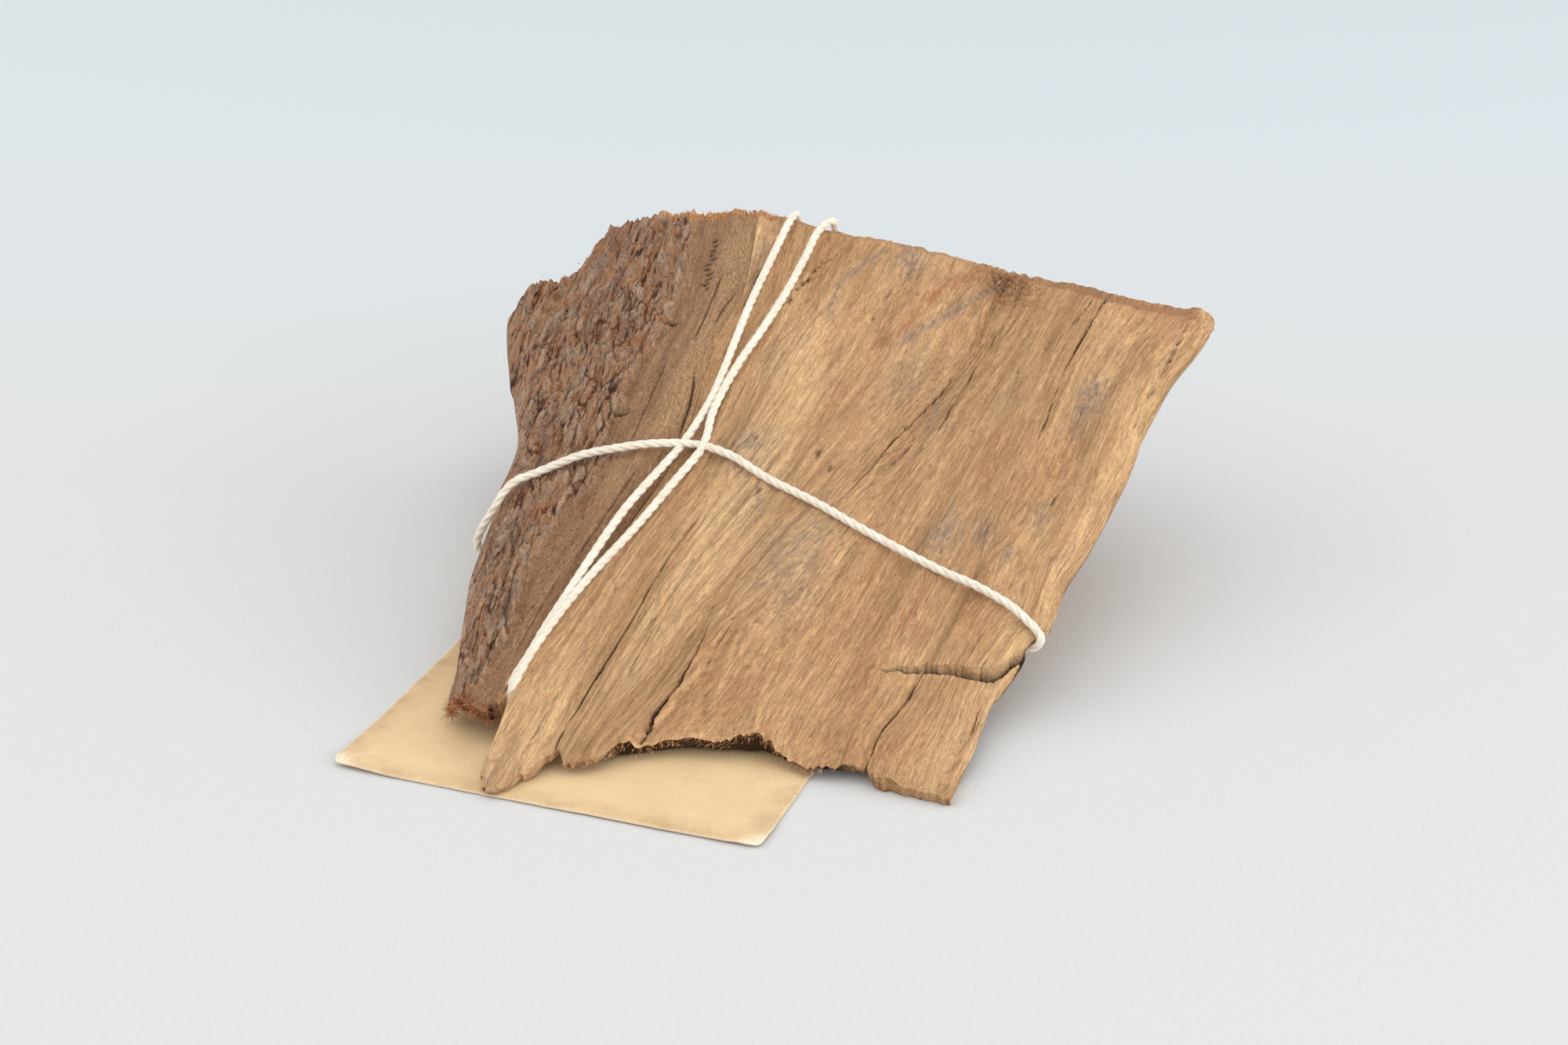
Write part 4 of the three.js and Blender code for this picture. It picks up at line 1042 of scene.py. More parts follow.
def plain_floor():
    material, tree = new_material("pale_floor")
    where = node(tree, "ShaderNodeTexCoord", output="Object")
    back = node(tree, "ShaderNodeSeparateXYZ", {0: where}, 1)
    tooth = pattern(tree, where, [0.8 * MM] * 3, 2, 0.5)
    color = lay(tree, FLOOR_NEAR, FLOOR_GRAIN, tooth, 0.3, 0.7)
    color = lay(tree, color, FLOOR_FAR, back, 0.02, 0.3)
    finish_material(tree, color, 0.9, bump(tree, tooth, 0.02, 0.1 * MM), Specular_IOR_Level=0.2)
    return material


# Geometry Nodes: what repeats or follows a path

def new_tree(name, inputs):
    """A tree with a geometry in and out, and named inputs given as (name, kind, value)."""
    tree = bpy.data.node_groups.new(name, "GeometryNodeTree")
    tree.interface.new_socket("Geometry", in_out="INPUT", socket_type="NodeSocketGeometry")
    for label, kind, value in inputs:
        socket = tree.interface.new_socket(label, in_out="INPUT", socket_type=kind)
        if value is not None:
            socket.default_value = value
    tree.interface.new_socket("Geometry", in_out="OUTPUT", socket_type="NodeSocketGeometry")
    given = tree.nodes.new("NodeGroupInput")
    return tree, given.outputs


def close_tree(tree, geometry, material):
    """Every tree ends in real meshes with their finish."""
    real = node(tree, "GeometryNodeRealizeInstances", {0: geometry})
    finished = node(tree, "GeometryNodeSetMaterial", {"Geometry": real, "Material": material})
    end = tree.nodes.new("NodeGroupOutput")
    tree.links.new(finished, end.inputs[0])
    return tree


def run_tree(name, mesh, tree, values):
    """Runs a tree on a mesh and keeps the result as a plain mesh of its own."""
    source = new_piece(name + "_source", mesh)
    modifier = source.modifiers.new("build", "NODES")
    modifier.node_group = tree
    for item in tree.interface.items_tree:
        if item.in_out == "INPUT" and item.name in values:
            modifier[item.identifier] = values[item.name]
    graph = bpy.context.evaluated_depsgraph_get()
    made = bpy.data.meshes.new_from_object(source.evaluated_get(graph), depsgraph=graph)
    source.modifiers.remove(modifier)
    bpy.data.objects.remove(source)
    made.name = name
    return new_piece(name, made)


FLOAT, WHOLE, MATERIAL = "NodeSocketFloat", "NodeSocketInt", "NodeSocketMaterial"


def scaled(tree, vector, factor):
    return node(tree, "ShaderNodeVectorMath", {0: vector, "Scale": factor}, operation="SCALE")


def together(tree, a, b, operation="ADD"):
    return node(tree, "ShaderNodeVectorMath", {0: a, 1: b}, operation=operation)


def round_section(tree, sides, radius):
    return node(tree, "GeometryNodeCurvePrimitiveCircle", {"Resolution": sides, "Radius": radius})


def tube_along(tree, line, section, caps=True):
    inputs = {"Curve": line, "Profile Curve": section, "Fill Caps": caps}
    return add(tree, "GeometryNodeCurveToMesh", inputs)


def keep_named(tree, geometry, name, value):
    inputs = {"Geometry": geometry, "Name": name, "Value": value}
    return node(tree, "GeometryNodeStoreNamedAttribute", inputs, data_type="FLOAT_VECTOR", domain="POINT")


def read_named(tree, name, kind="FLOAT_VECTOR"):
    return node(tree, "GeometryNodeInputNamedAttribute", {"Name": name}, data_type=kind)


RANDOM_OUTPUTS = {"FLOAT_VECTOR": 0, "FLOAT": 1, "INT": 2}


def draw(tree, kind, low, high, seed):
    """A random value of one kind for each point."""
    output = RANDOM_OUTPUTS[kind]
    inputs = {2 * output: low, 2 * output + 1: high, "Seed": seed}
    return node(tree, "FunctionNodeRandomValue", inputs, output, data_type=kind)


def ply_tree():
    """Turns each line into plies that wind round it a whole number of times."""
    tree, given = new_tree("twisted_plies", [
        ("Plies", WHOLE, 3), ("Ply radius", FLOAT, 0.5 * MM), ("Twist radius", FLOAT, 0.3 * MM),
        ("Pitch", FLOAT, 6.3 * MM), ("Step", FLOAT, 0.45 * MM), ("Sides", WHOLE, 7),
        ("Material", MATERIAL, None)])
    line = node(tree, "GeometryNodeMeshToCurve", {0: given["Geometry"]})
    line = node(tree, "GeometryNodeResampleCurve", {"Curve": line, "Length": given["Step"]}, mode="LENGTH")
    copies = add(tree, "GeometryNodeDuplicateElements", {"Geometry": line, "Amount": given["Plies"]},
                 domain="SPLINE")
    spline = tree.nodes.new("GeometryNodeSplineParameter")
    length = node(tree, "GeometryNodeSplineLength", output="Length")
    turns = sums(tree, "ROUND", sums(tree, "DIVIDE", length, given["Pitch"]))
    share = sums(tree, "DIVIDE", copies.outputs["Duplicate Index"], given["Plies"])
    angle = times(tree, plus(tree, times(tree, spline.outputs["Factor"], turns), share), 2 * math.pi)
    normal = node(tree, "GeometryNodeInputNormal")
    side = together(tree, node(tree, "GeometryNodeInputTangent"), normal, "CROSS_PRODUCT")
    to_normal = scaled(tree, normal, sums(tree, "COSINE", angle))
    to_side = scaled(tree, side, sums(tree, "SINE", angle))
    offset = scaled(tree, together(tree, to_normal, to_side), given["Twist radius"])
    wound = node(tree, "GeometryNodeSetPosition", {"Geometry": copies.outputs[0], "Offset": offset})
    place_along = node(tree, "ShaderNodeCombineXYZ", {1: spline.outputs["Length"], 2: share})
    wound = keep_named(tree, wound, "ply_along", place_along)
    factor = node(tree, "GeometryNodeSplineParameter", output="Factor")
    turn = node(tree, "ShaderNodeCombineXYZ", {0: factor})
    section = keep_named(tree, round_section(tree, given["Sides"], given["Ply radius"]), "ply_around", turn)
    tube = tube_along(tree, wound, section).outputs[0]
    both = together(tree, read_named(tree, "ply_along"), read_named(tree, "ply_around"))
    tube = keep_named(tree, tube, "ply", both)
    tube = node(tree, "GeometryNodeSetShadeSmooth", {"Geometry": tube})
    return close_tree(tree, tube, given["Material"])


FIBRE_STEPS = 4
FIBRE_SIDES = 3
FIBRE_BENDS = [(1.0, 0.25), (-0.6, 0.5), (0.2, -0.4)]


def bent_fibres(tree, length, radius, bend):
    """Three bent, tapered fibres as instances to pick from."""
    shapes = tree.nodes.new("GeometryNodeJoinGeometry")
    reach = times(tree, length, bend)
    for side, lean in FIBRE_BENDS:
        inputs = {"Resolution": FIBRE_STEPS, "Start": (0, 0, 0)}
        for end, aside, off, up in (("Middle", 0.35 * side, 0.3 * lean, 0.55), ("End", side, lean, 0.8)):
            places = {0: times(tree, reach, aside), 1: times(tree, reach, off), 2: times(tree, length, up)}
            inputs[end] = node(tree, "ShaderNodeCombineXYZ", places)
        line = node(tree, "GeometryNodeCurveQuadraticBezier", inputs)
        factor = node(tree, "GeometryNodeSplineParameter", output="Factor")
        taper = between(tree, factor, 0.3, 1.0, 1.0, 0.15)
        line = node(tree, "GeometryNodeSetCurveRadius", {"Curve": line, "Radius": taper})
        tube = tube_along(tree, line, round_section(tree, FIBRE_SIDES, radius))
        if "Scale" in tube.inputs:
            tree.links.new(taper, tube.inputs["Scale"])
        made = node(tree, "GeometryNodeGeometryToInstance", {0: tube.outputs[0]})
        tree.links.new(made, shapes.inputs[0])
    return shapes.outputs[0]


def strayed(tree, way, stray, seed):
    """Turned towards a way, with some stray by chance."""
    loose = draw(tree, "FLOAT_VECTOR", (-1, -1, -1), (1, 1, 1), seed)
    aim = together(tree, way, scaled(tree, loose, stray))
    return node(tree, "FunctionNodeAlignRotationToVector", {"Vector": aim}, axis="Z")


def set_fibres(tree, given, points, shapes, turned, size):
    """Sets one of the bent fibres on every point and ends the tree."""
    pick = draw(tree, "INT", 0, len(FIBRE_BENDS) - 1, given["Seed"])
    inputs = {"Points": points, "Instance": shapes, "Pick Instance": True, "Instance Index": pick,
              "Rotation": turned, "Scale": size}
    return close_tree(tree, node(tree, "GeometryNodeInstanceOnPoints", inputs), given["Material"])


def fibre_tree():
    """Sets a bent fibre on every point, pointing the way that the point says."""
    tree, given = new_tree("torn_fibres", [
        ("Length", FLOAT, 2 * MM), ("Radius", FLOAT, 0.05 * MM), ("Bend", FLOAT, 0.4),
        ("Stray", FLOAT, 0.5), ("Seed", WHOLE, 1), ("Material", MATERIAL, None)])
    points = node(tree, "GeometryNodeMeshToPoints", {"Mesh": given["Geometry"]})
    shapes = bent_fibres(tree, given["Length"], given["Radius"], given["Bend"])
    facing = strayed(tree, read_named(tree, "way"), given["Stray"], given["Seed"])
    spin = draw(tree, "FLOAT", 0.0, 2 * math.pi, given["Seed"])
    around = node(tree, "FunctionNodeAxisAngleToRotation", {"Axis": (0, 0, 1), "Angle": spin})
    turned = node(tree, "FunctionNodeRotateRotation", {0: facing, 1: around}, rotation_space="LOCAL")
    return set_fibres(tree, given, points, shapes, turned, read_named(tree, "size", "FLOAT"))


FUZZ_BEND = 1.1
FUZZ_STRAY = 1.3
FUZZ_SKIN_SIDES = 8


def fuzz_tree():
    """Fine cotton fibres standing out all along the string."""
    tree, given = new_tree("string_fuzz", [
        ("Reach", FLOAT, 0.7 * MM), ("Thickness", FLOAT, 0.022 * MM), ("Density", FLOAT, 500000.0),
        ("Length", FLOAT, 1.4 * MM), ("Seed", WHOLE, 4), ("Material", MATERIAL, None)])
    line = node(tree, "GeometryNodeMeshToCurve", {0: given["Geometry"]})
    skin = tube_along(tree, line, round_section(tree, FUZZ_SKIN_SIDES, given["Reach"]), False).outputs[0]
    spread = add(tree, "GeometryNodeDistributePointsOnFaces",
                 {"Mesh": skin, "Density": given["Density"], "Seed": given["Seed"]})
    shapes = bent_fibres(tree, given["Length"], given["Thickness"], FUZZ_BEND)
    facing = strayed(tree, spread.outputs["Normal"], FUZZ_STRAY, given["Seed"])
    size = draw(tree, "FLOAT", 0.3, 1.0, given["Seed"])
    return set_fibres(tree, given, spread.outputs["Points"], shapes, facing, size)


# The string's routes, as (u, w, height of its middle or OVER on the chip, and any further lift)
OVER = None
IN_LANE = 1.75
IN_HOLLOW = 2.5
STRING_STEPS = 24
LONG_LEFT = [(-41.1, 116.4, OVER), (-41, 106, OVER), (-40.9, 94, OVER), (-40.4, 84, OVER),
             (-40, 76.6, OVER), (-39.9, 70, OVER), (-40.6, 63, OVER), (-41.4, 58, OVER),
             (-42.6, 51.9, OVER), (-45, 41.9, OVER), (-46.6, 30.2, OVER), (-47.3, 24, OVER),
             (-47.9, 18.5, OVER), (-48.4, 13.5, OVER), (-49, 8.4, OVER), (-49.8, 5.2, 11.2),
             (-50.3, 3.9, 9.3), (-50.4, 3.5, 6), (-50.2, 4.2, 3.4), (-50, 7, IN_HOLLOW - 0.4),
             (-49, 15, IN_HOLLOW), (-46.5, 30, IN_HOLLOW), (-45.4, 48, IN_HOLLOW), (-45, 66, IN_HOLLOW),
             (-44.6, 84, IN_LANE + 0.2), (-44.4, 100, IN_LANE + 0.1), (-44.2, 107, 2.4),
             (-43.2, 110.8, 9), (-41.4, 114.6, 24), (-40.3, 117.8, 34), (-40.6, 119.6, 43),
             (-41.2, 121.2, 50), (-41.3, 121.9, 54.6), (-41.2, 120.2, 57.3)]
LONG_RIGHT = [(-35, 117, OVER), (-35.2, 108, OVER), (-35.5, 100, OVER), (-36.5, 90, OVER),
              (-38, 80, OVER), (-38.5, 73, OVER), (-38.4, 67, OVER), (-37.5, 62, OVER),
              (-37.4, 58.6, OVER), (-39.4, 51, OVER), (-42.4, 39.2, OVER), (-45.2, 27.8, OVER, 0.3),
              (-46.9, 19.6, OVER, 0.6), (-47.8, 13.6, OVER, 0.8), (-48.6, 8, OVER, 0.8),
              (-49.3, 4.7, 11.3), (-49.9, 3.3, 9.4), (-50, 2.9, 6), (-49.8, 3.6, 3.3),
              (-49.5, 6.4, IN_HOLLOW - 0.4), (-47.6, 15, IN_HOLLOW), (-44.6, 30, IN_HOLLOW),
              (-43.2, 48, IN_HOLLOW), (-42.4, 66, IN_HOLLOW), (-41.8, 84, IN_LANE + 0.2),
              (-41.2, 100, IN_LANE + 0.1), (-40.8, 107, 2.4), (-40, 110.8, 9), (-39, 114.8, 24),
              (-38.5, 118, 34), (-36.8, 119.9, 43), (-34.8, 121.7, 50), (-33.9, 122.4, 54),
              (-33.8, 120.7, 56.6)]
ACROSS = [(29.9, 44.6, 14.3), (28.4, 45.3, 15.2), (24.7, 46.4, OVER), (17.5, 47.6, OVER),
          (11.4, 48.7, OVER), (-4.3, 52.2, OVER), (-14.1, 54.9, OVER), (-24, 57.3, OVER),
          (-32, 59.2, OVER), (-38.6, 59.8, OVER), (-45.8, 55.9, OVER), (-52.5, 53.6, OVER),
          (-58.3, 52.3, OVER), (-65.1, 49.6, OVER), (-69.4, 46.4, OVER), (-72.2, 43.6, OVER),
          (-75.1, 42.6, 14.8), (-73.4, 43.8, 9.8), (-68.4, 46, 4), (-61, 48.6, IN_LANE),
          (-50, 50.6, IN_LANE), (-38, 51.4, IN_LANE), (-20, 50.6, IN_LANE), (-2, 48.8, IN_LANE),
          (9, 47.4, IN_LANE), (17, 46.4, 4.2), (23.6, 45.6, 8.2), (27.6, 44.8, 10.4), (29.8, 44.4, 11.4),
          (30.7, 44.3, 12.8)]
KNOT_TURN = [(-42, 117.6, 36), (-41.2, 119.7, 35.2), (-39.4, 120.4, 34.4), (-37.6, 119.9, 33.6),
             (-36.8, 118, 33.4), (-37.8, 116.6, 34.4), (-39.4, 116.2, 35.2), (-41, 116.6, 35.8)]
KNOT_LOCK = [(-39.4, 119.9, 37.2), (-37.9, 119.4, 35.4), (-38.6, 118.8, 32.8), (-39.8, 118.6, 31.8),
             (-41, 118.6, 33), (-41, 119.3, 35.8)]
TAIL_LEFT = [(-41, 119.4, 34.4), (-43.4, 118.9, 32), (-45.6, 117.4, 28.6), (-46.8, 116.4, 24.6),
             (-46.6, 115.9, 20.8)]
TAIL_RIGHT = [(-37.8, 119.4, 34), (-35.2, 118.8, 32), (-33.2, 117.6, 29.4), (-32, 117, 26),
              (-31.8, 116.6, 23.4)]
STRANDS = [(LONG_LEFT, True), (LONG_RIGHT, True), (ACROSS, True), (KNOT_TURN, True), (KNOT_LOCK, True),
           (TAIL_LEFT, False), (TAIL_RIGHT, False)]


def chip_height(u, w):
    """Height of the chip's upper face under the string."""
    on_bark = u < follow(BARK_SEAM, w)
    return np.where(on_bark, bark_face(u, w) + 0.5, wood_face(u, w)) - edge_wear(u, w)


def string_points(route):
    half = STRING_THICK / 2
    spots = []
    for u, w, height, *lift in route:
        if height is OVER:
            near_u, near_w = np.meshgrid([u - half, u, u + half], [w - 2.0, w, w + 2.0])
            height = float(chip_height(near_u, near_w).max()) + half + 0.1 + sum(lift)
        spots.append(place(u, w, height))
    return np.array(spots)


def smooth_path(spots, closed):
    """A curve that passes through every spot and bends evenly, however far apart they are."""
    count = len(spots)
    if closed:
        ring = np.concatenate([spots[-1:], spots, spots[:2]])
    else:
        ring = np.concatenate([2 * spots[:1] - spots[1:2], spots, 2 * spots[-1:] - spots[-2:-1]])
    path = []
    for k in range(count if closed else count - 1):
        p0, p1, p2, p3 = ring[k:k + 4]
        d0, d1, d2 = [max(np.linalg.norm(b - a) ** 0.5, 1e-4) for a, b in ((p0, p1), (p1, p2), (p2, p3))]
        m1 = ((p1 - p0) / d0 - (p2 - p0) / (d0 + d1) + (p2 - p1) / d1) * d1
        m2 = ((p2 - p1) / d1 - (p3 - p1) / (d1 + d2) + (p3 - p2) / d2) * d1
        t = (np.arange(STRING_STEPS) / STRING_STEPS)[:, None]
        path.append((2 * t**3 - 3 * t**2 + 1) * p1 + (t**3 - 2 * t**2 + t) * m1
                    + (3 * t**2 - 2 * t**3) * p2 + (t**3 - t**2) * m2)
    if not closed:
        path.append(spots[-1:])
    return np.concatenate(path)


def string_lines():
    """All strands as one mesh of lines."""
    points, edges = [], []
    for route, closed in STRANDS:
        path = smooth_path(string_points(route), closed)
        start = len(points)
        points += (path * MM).tolist()
        edges += [(start + k, start + k + 1) for k in range(len(path) - 1)]
        if closed:
            edges.append((len(points) - 1, start))
    mesh = bpy.data.meshes.new("string_lines")
    mesh.from_pydata(points, edges, [])
    return mesh


# Torn fibres

def fibre_mesh(name, spots, ways, sizes):
    mesh = bpy.data.meshes.new(name)
    mesh.from_pydata((np.asarray(spots) * MM).tolist(), [], [])
    store(mesh, "way", ways)
    store(mesh, "size", sizes)
    return mesh


def edge_fibres(rng, count, low_u, high_u, way, lift):
    """Fibres along the torn front edge between two places across the grain."""
    u = rng.uniform(low_u, high_u, count)
    w = ragged_front(u) + rng.uniform(-0.1, 0.8, count)
    surface = np.where(u < follow(BARK_SEAM, w), bark_top(u, w), wood_top(u, w))
    z = np.maximum(surface - rng.uniform(0, lift, count), 1.4)
    ways = np.tile(way_in_frame(*way), (count, 1))
    return place(u, w, z), ways, rng.uniform(0.35, 1.0, count)


def split_fringe(rng, count):
    """The fringe that hangs from the upper lip of the split across the grain."""
    u = np.concatenate([rng.uniform(7, 12, count // 2), rng.uniform(12, 28, count - count // 2)])
    w = split_edge(u) + rng.uniform(0, 0.3, count)
    ways = np.tile(way_in_frame(0.05, -1, -0.45), (count, 1))
    return place(u, w, wood_top(u, w) - rng.uniform(0, 0.8, count)), ways, rng.uniform(0.25, 1.0, count)


def knot_curls(rng, count):
    u = rng.normal(4.5, 2.4, count)
    w = rng.normal(119, 1.8, count)
    w = np.minimum(w, ragged_back(u) - 0.6)
    ways = np.tile(way_in_frame(0.5, -0.6, 0.1), (count, 1))
    return place(u, w, wood_top(u, w) - 0.1), ways, rng.uniform(0.3, 1.0, count)


def loose_splinters(rng, count):
    """Short fibres lifting off the split face."""
    u = rng.uniform(-44, 34, count)
    w = rng.uniform(8, 118, count)
    ways = np.tile(way_in_frame(0.06, -1, 0.5), (count, 1)) * rng.choice([-1, 1], (count, 1))
    ways[:, 2] = np.abs(ways[:, 2])
    return place(u, w, wood_top(u, w) - 0.08), ways, rng.uniform(0.3, 1.0, count)


def bark_slivers(rng, count):
    """Thin slivers and flakes lifting off the rugged bark."""
    w = rng.uniform(8, 117, count)
    t = rng.uniform(0.03, 0.75, count)
    u = mix(follow(BARK_EDGE, w), follow(BARK_SEAM, w), t)
    ways = np.tile(way_in_frame(-0.1, 1, 0.35), (count, 1)) * rng.choice([-1, 1], (count, 1))
    ways[:, 2] = np.abs(ways[:, 2])
    return place(u, w, bark_top(u, w) - 0.12), ways, rng.uniform(0.3, 1.0, count)


def back_crumbs(rng, count):
    """Crumbly torn wood along the back edge above the bark."""
    u = rng.uniform(-70, -44, count)
    w = ragged_back(u) - rng.uniform(0, 3.0, count)
    ways = np.tile(way_in_frame(0.2, 0.6, 0.8), (count, 1))
    surface = np.where(u < follow(BARK_SEAM, w), bark_top(u, w), wood_top(u, w))
    return place(u, w, surface - 0.1), ways, rng.uniform(0.3, 1.0, count)


# The card

CARD_CORNER = 1.9
CARD_EDGE_COLUMNS = [0, 0.25, 0.6, 1.2, 2.2, 4.0]


def card_mesh():
    """A thin sheet with worn round corners, lifting a little at its front corners."""
    inset = CARD_EDGE_COLUMNS
    xs = np.concatenate([inset, np.linspace(6, CARD_WIDTH - 6, 30), CARD_WIDTH - np.array(inset)[::-1]])
    ys = np.concatenate([inset, np.linspace(6, CARD_LENGTH - 6, 46), CARD_LENGTH - np.array(inset)[::-1]])
    x, y = np.meshgrid(xs, ys)
    from_side = np.minimum(x, CARD_WIDTH - x)
    from_end = np.minimum(y, CARD_LENGTH - y)
    corner = CARD_CORNER
    near = (from_side < corner) & (from_end < corner)
    reach = np.hypot(corner - from_side, corner - from_end)
    square = np.maximum(corner - from_side, corner - from_end)
    pull = np.where(near, 1 - square / np.maximum(reach, 1e-6), 0)
    to_x = np.where(x < CARD_WIDTH / 2, 1, -1) * (corner - from_side) * pull
    to_y = np.where(y < CARD_LENGTH / 2, 1, -1) * (corner - from_end) * pull
    x, y = x + to_x * near, y + to_y * near
    edge = np.minimum(np.minimum(x, CARD_WIDTH - x), np.minimum(y, CARD_LENGTH - y))
    nick = 0.12 * noise(x / 1.1, y / 1.1) * (1 - smooth(0, 0.6, edge))
    left_lift = 0.75 * (1 - smooth(0, 16, np.hypot(x, y)))
    right_lift = 0.3 * (1 - smooth(0, 12, np.hypot(CARD_WIDTH - x, y)))
    wave = 0.12 * (1 + noise(x / 24, y / 30)) * smooth(20, 0, y)
    low = left_lift + right_lift + wave
    u, w = CARD_LEFT + x + nick, CARD_FRONT + y + nick
    rounding = 0.12 * (1 - smooth(0, 0.4, edge))
    top = place(u, w, low + CARD_THICK - rounding)
    under = place(u, w, low + 0.02 + rounding)
    rows, count = x.shape
    index = np.arange(x.size).reshape(rows, count)
    below = index + x.size
    rim = np.concatenate([index[0, :-1], index[:-1, -1], index[-1, :0:-1], index[:0:-1, 0]])
    rim_low = rim + x.size
    walls = np.stack([np.roll(rim, -1), rim, rim_low, np.roll(rim_low, -1)], axis=1)
    faces = np.concatenate([grid_faces(index), grid_faces(below)[:, ::-1], walls])
    mesh = new_mesh("card", np.concatenate([top.reshape(-1, 3), under.reshape(-1, 3)]) * MM, faces.tolist())
    corners = np.minimum(np.hypot(x, y), np.hypot(CARD_WIDTH - x, y))
    worn = np.clip((1 - smooth(1.2, 4.5, corners)) + 0.5 * (1 - smooth(0, 0.35, edge)), 0, 1)
    flat = np.stack([x, y, 0 * x], -1).reshape(-1, 3)
    store(mesh, "flat", np.concatenate([flat, flat + [0, 0, 5]]))
    store(mesh, "edge", np.tile(edge.ravel(), 2))
    store(mesh, "worn", np.tile(worn.ravel(), 2))
    return mesh


# Building the pieces

WOOD_COLUMNS = [52, 72, 24, 66, 56]
WOOD_ROWS = 216
WOOD_WALL_ROWS = 18
BARK_COLUMNS = 201
BARK_ROWS = 330
BARK_WALL_ROWS = 12
SHARP_ANGLE = math.radians(60)


def dress(piece, replaced=None):
    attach(piece, "root")
    if replaced:
        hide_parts(replaced)


def finished_piece(name, mesh, finish, replaced):
    mesh.materials.append(finish)
    mesh.shade_smooth()
    mesh.set_sharp_from_angle(angle=SHARP_ANGLE)
    dress(new_piece(name, mesh), replaced)


def build_chip(wood, bark):
    columns = zoned_columns(WOOD_COLUMNS)
    mesh = woven_body("split_wood", columns, wood_u, wood_surface, wood_marks, WOOD_ROWS, WOOD_WALL_ROWS)
    finished_piece("split_wood", mesh, wood, "chip")
    columns = np.linspace(0, 1, BARK_COLUMNS + 1)
    mesh = woven_body("bark", columns, bark_u, bark_top, bark_marks, BARK_ROWS, BARK_WALL_ROWS)
    finished_piece("bark", mesh, bark, "chip")


def build_string(finish):
    string = run_tree("string", string_lines(), ply_tree(), {"Material": finish})
    dress(string, "string")
    fuzz = run_tree("string_fuzz", string_lines(), fuzz_tree(), {"Material": finish})
    dress(fuzz)


def build_fibres(light, rust, dark):
    """Each group: name, places, length, radius, bend, stray and finish."""
    rng = np.random.default_rng(7)
    tree = fibre_tree()
    bark_end = edge_fibres(rng, 560, -62.4, -52.4, (0.35, -0.5, -0.25), 1.5)
    front = edge_fibres(rng, 420, -31, 4, (0.05, -1, -0.2), 1.4)
    tip = edge_fibres(rng, 260, -49, 26, (0.05, -1, 0), 1.6)
    groups = [
        ("bark_end_fibres", bark_end, 1.7, 0.085, 1.6, 0.8, rust),
        ("front_fibres", front, 1.1, 0.06, 0.4, 0.35, light),
        ("tip_fibres", tip, 0.8, 0.06, 0.3, 0.3, light),
        ("split_fringe", split_fringe(rng, 44), 0.5, 0.045, 0.4, 0.4, light),
        ("knot_curls", knot_curls(rng, 34), 2.0, 0.13, 1.5, 0.7, light),
        ("loose_splinters", loose_splinters(rng, 900), 1.6, 0.045, 0.3, 0.2, light),
        ("bark_slivers", bark_slivers(rng, 1500), 1.5, 0.09, 0.5, 0.6, dark),
        ("back_crumbs", back_crumbs(rng, 620), 0.8, 0.15, 0.9, 0.9, light),
    ]
    for name, (spots, ways, sizes), length, radius, bend, stray, finish in groups:
        values = {"Length": length * MM, "Radius": radius * MM, "Bend": bend, "Stray": stray,
                  "Seed": len(name), "Material": finish}
        dress(run_tree(name, fibre_mesh(name, spots, ways, sizes), tree, values))


# Floor, lights and camera

FLOOR_HALF = 3.0


def build_stage():
    corners = [(x * FLOOR_HALF, y * FLOOR_HALF, 0) for x, y in ((-1, -1), (1, -1), (1, 1), (-1, 1))]
    mesh = new_mesh("floor", corners, [(0, 1, 2, 3)])
    mesh.materials.append(plain_floor())
    new_piece("floor", mesh)


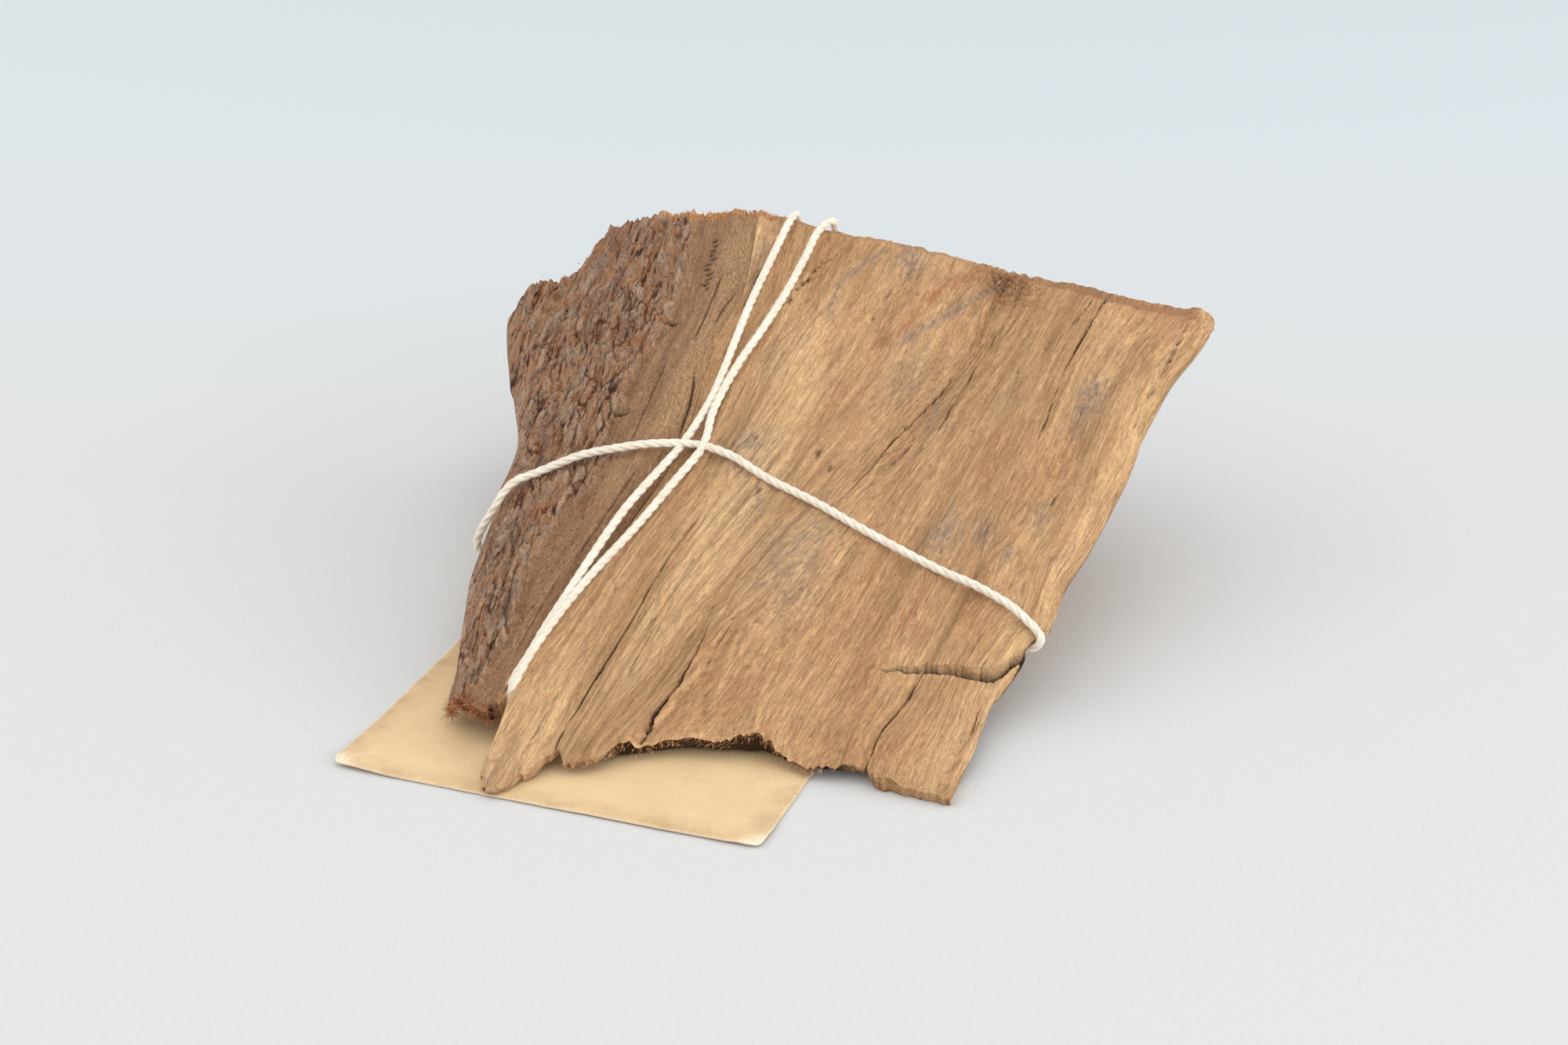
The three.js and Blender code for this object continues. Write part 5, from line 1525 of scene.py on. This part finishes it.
def soft_light(name, spot, aim, size, power, color):
    data = bpy.data.lights.new(name, "AREA")
    data.shape = "RECTANGLE"
    data.size, data.size_y = size
    data.energy = power
    data.color = color
    lamp = bpy.data.objects.new(name, data)
    bpy.context.scene.collection.objects.link(lamp)
    lamp.location = spot
    direction = np.array(aim) - np.array(spot)
    yaw = math.atan2(direction[1], direction[0]) - math.pi / 2
    pitch = math.atan2(math.hypot(direction[0], direction[1]), -direction[2])
    lamp.rotation_euler = (pitch, 0, yaw)


LIGHTS = [
    ("left_light", (-1.1, -0.05, 0.72), (0, 0, 0.02), (1.2, 1.0), 4.4, (1, 0.985, 0.96)),
    ("right_light", (1.2, -0.4, 0.34), (0, 0, 0.02), (1.4, 0.7), 9.0, (0.94, 0.97, 1)),
    ("top_light", (0.0, -0.3, 1.5), (0, 0, 0), (1.8, 1.4), 4.0, (1, 1, 1)),
    ("front_light", (0.5, -1.4, 0.4), (0.05, 0, 0.02), (1.6, 0.8), 4.0, (0.97, 0.985, 1)),
]
SKY_COLOR = (0.965, 0.983, 1.0, 1.0)
SKY_STRENGTH = 0.96


def build_lights():
    for light in LIGHTS:
        soft_light(*light)
    world = bpy.data.worlds.new("studio")
    world.use_nodes = True
    sky = world.node_tree.nodes["Background"]
    sky.inputs["Color"].default_value = SKY_COLOR
    sky.inputs["Strength"].default_value = SKY_STRENGTH
    bpy.context.scene.world = world
    bpy.context.scene.view_settings.view_transform = "Standard"


CAMERA_SPOT = (-0.0041, -0.4384, 0.224)
CAMERA_TILT = math.radians(65)
CAMERA_LENS = 61.2


def build_camera():
    data = bpy.data.cameras.new("camera")
    data.lens = CAMERA_LENS
    data.sensor_width = 36
    data.clip_start = 0.01
    camera = bpy.data.objects.new("camera", data)
    bpy.context.scene.collection.objects.link(camera)
    camera.location = CAMERA_SPOT
    camera.rotation_euler = (CAMERA_TILT, 0, 0)
    bpy.context.scene.camera = camera


build_camera()
build_chip(split_wood(), rugged_bark())
build_string(cotton())
build_fibres(torn_fibre("light_fibre", FIBRE_LIGHT, FIBRE_DARK),
             torn_fibre("rust_fibre", FIBRE_DARK, BARK_RED),
             torn_fibre("dark_fibre", BARK_BROWN, BARK_DARK))
finished_piece("card", card_mesh(), buff_card(), "card")
build_stage()
build_lights()
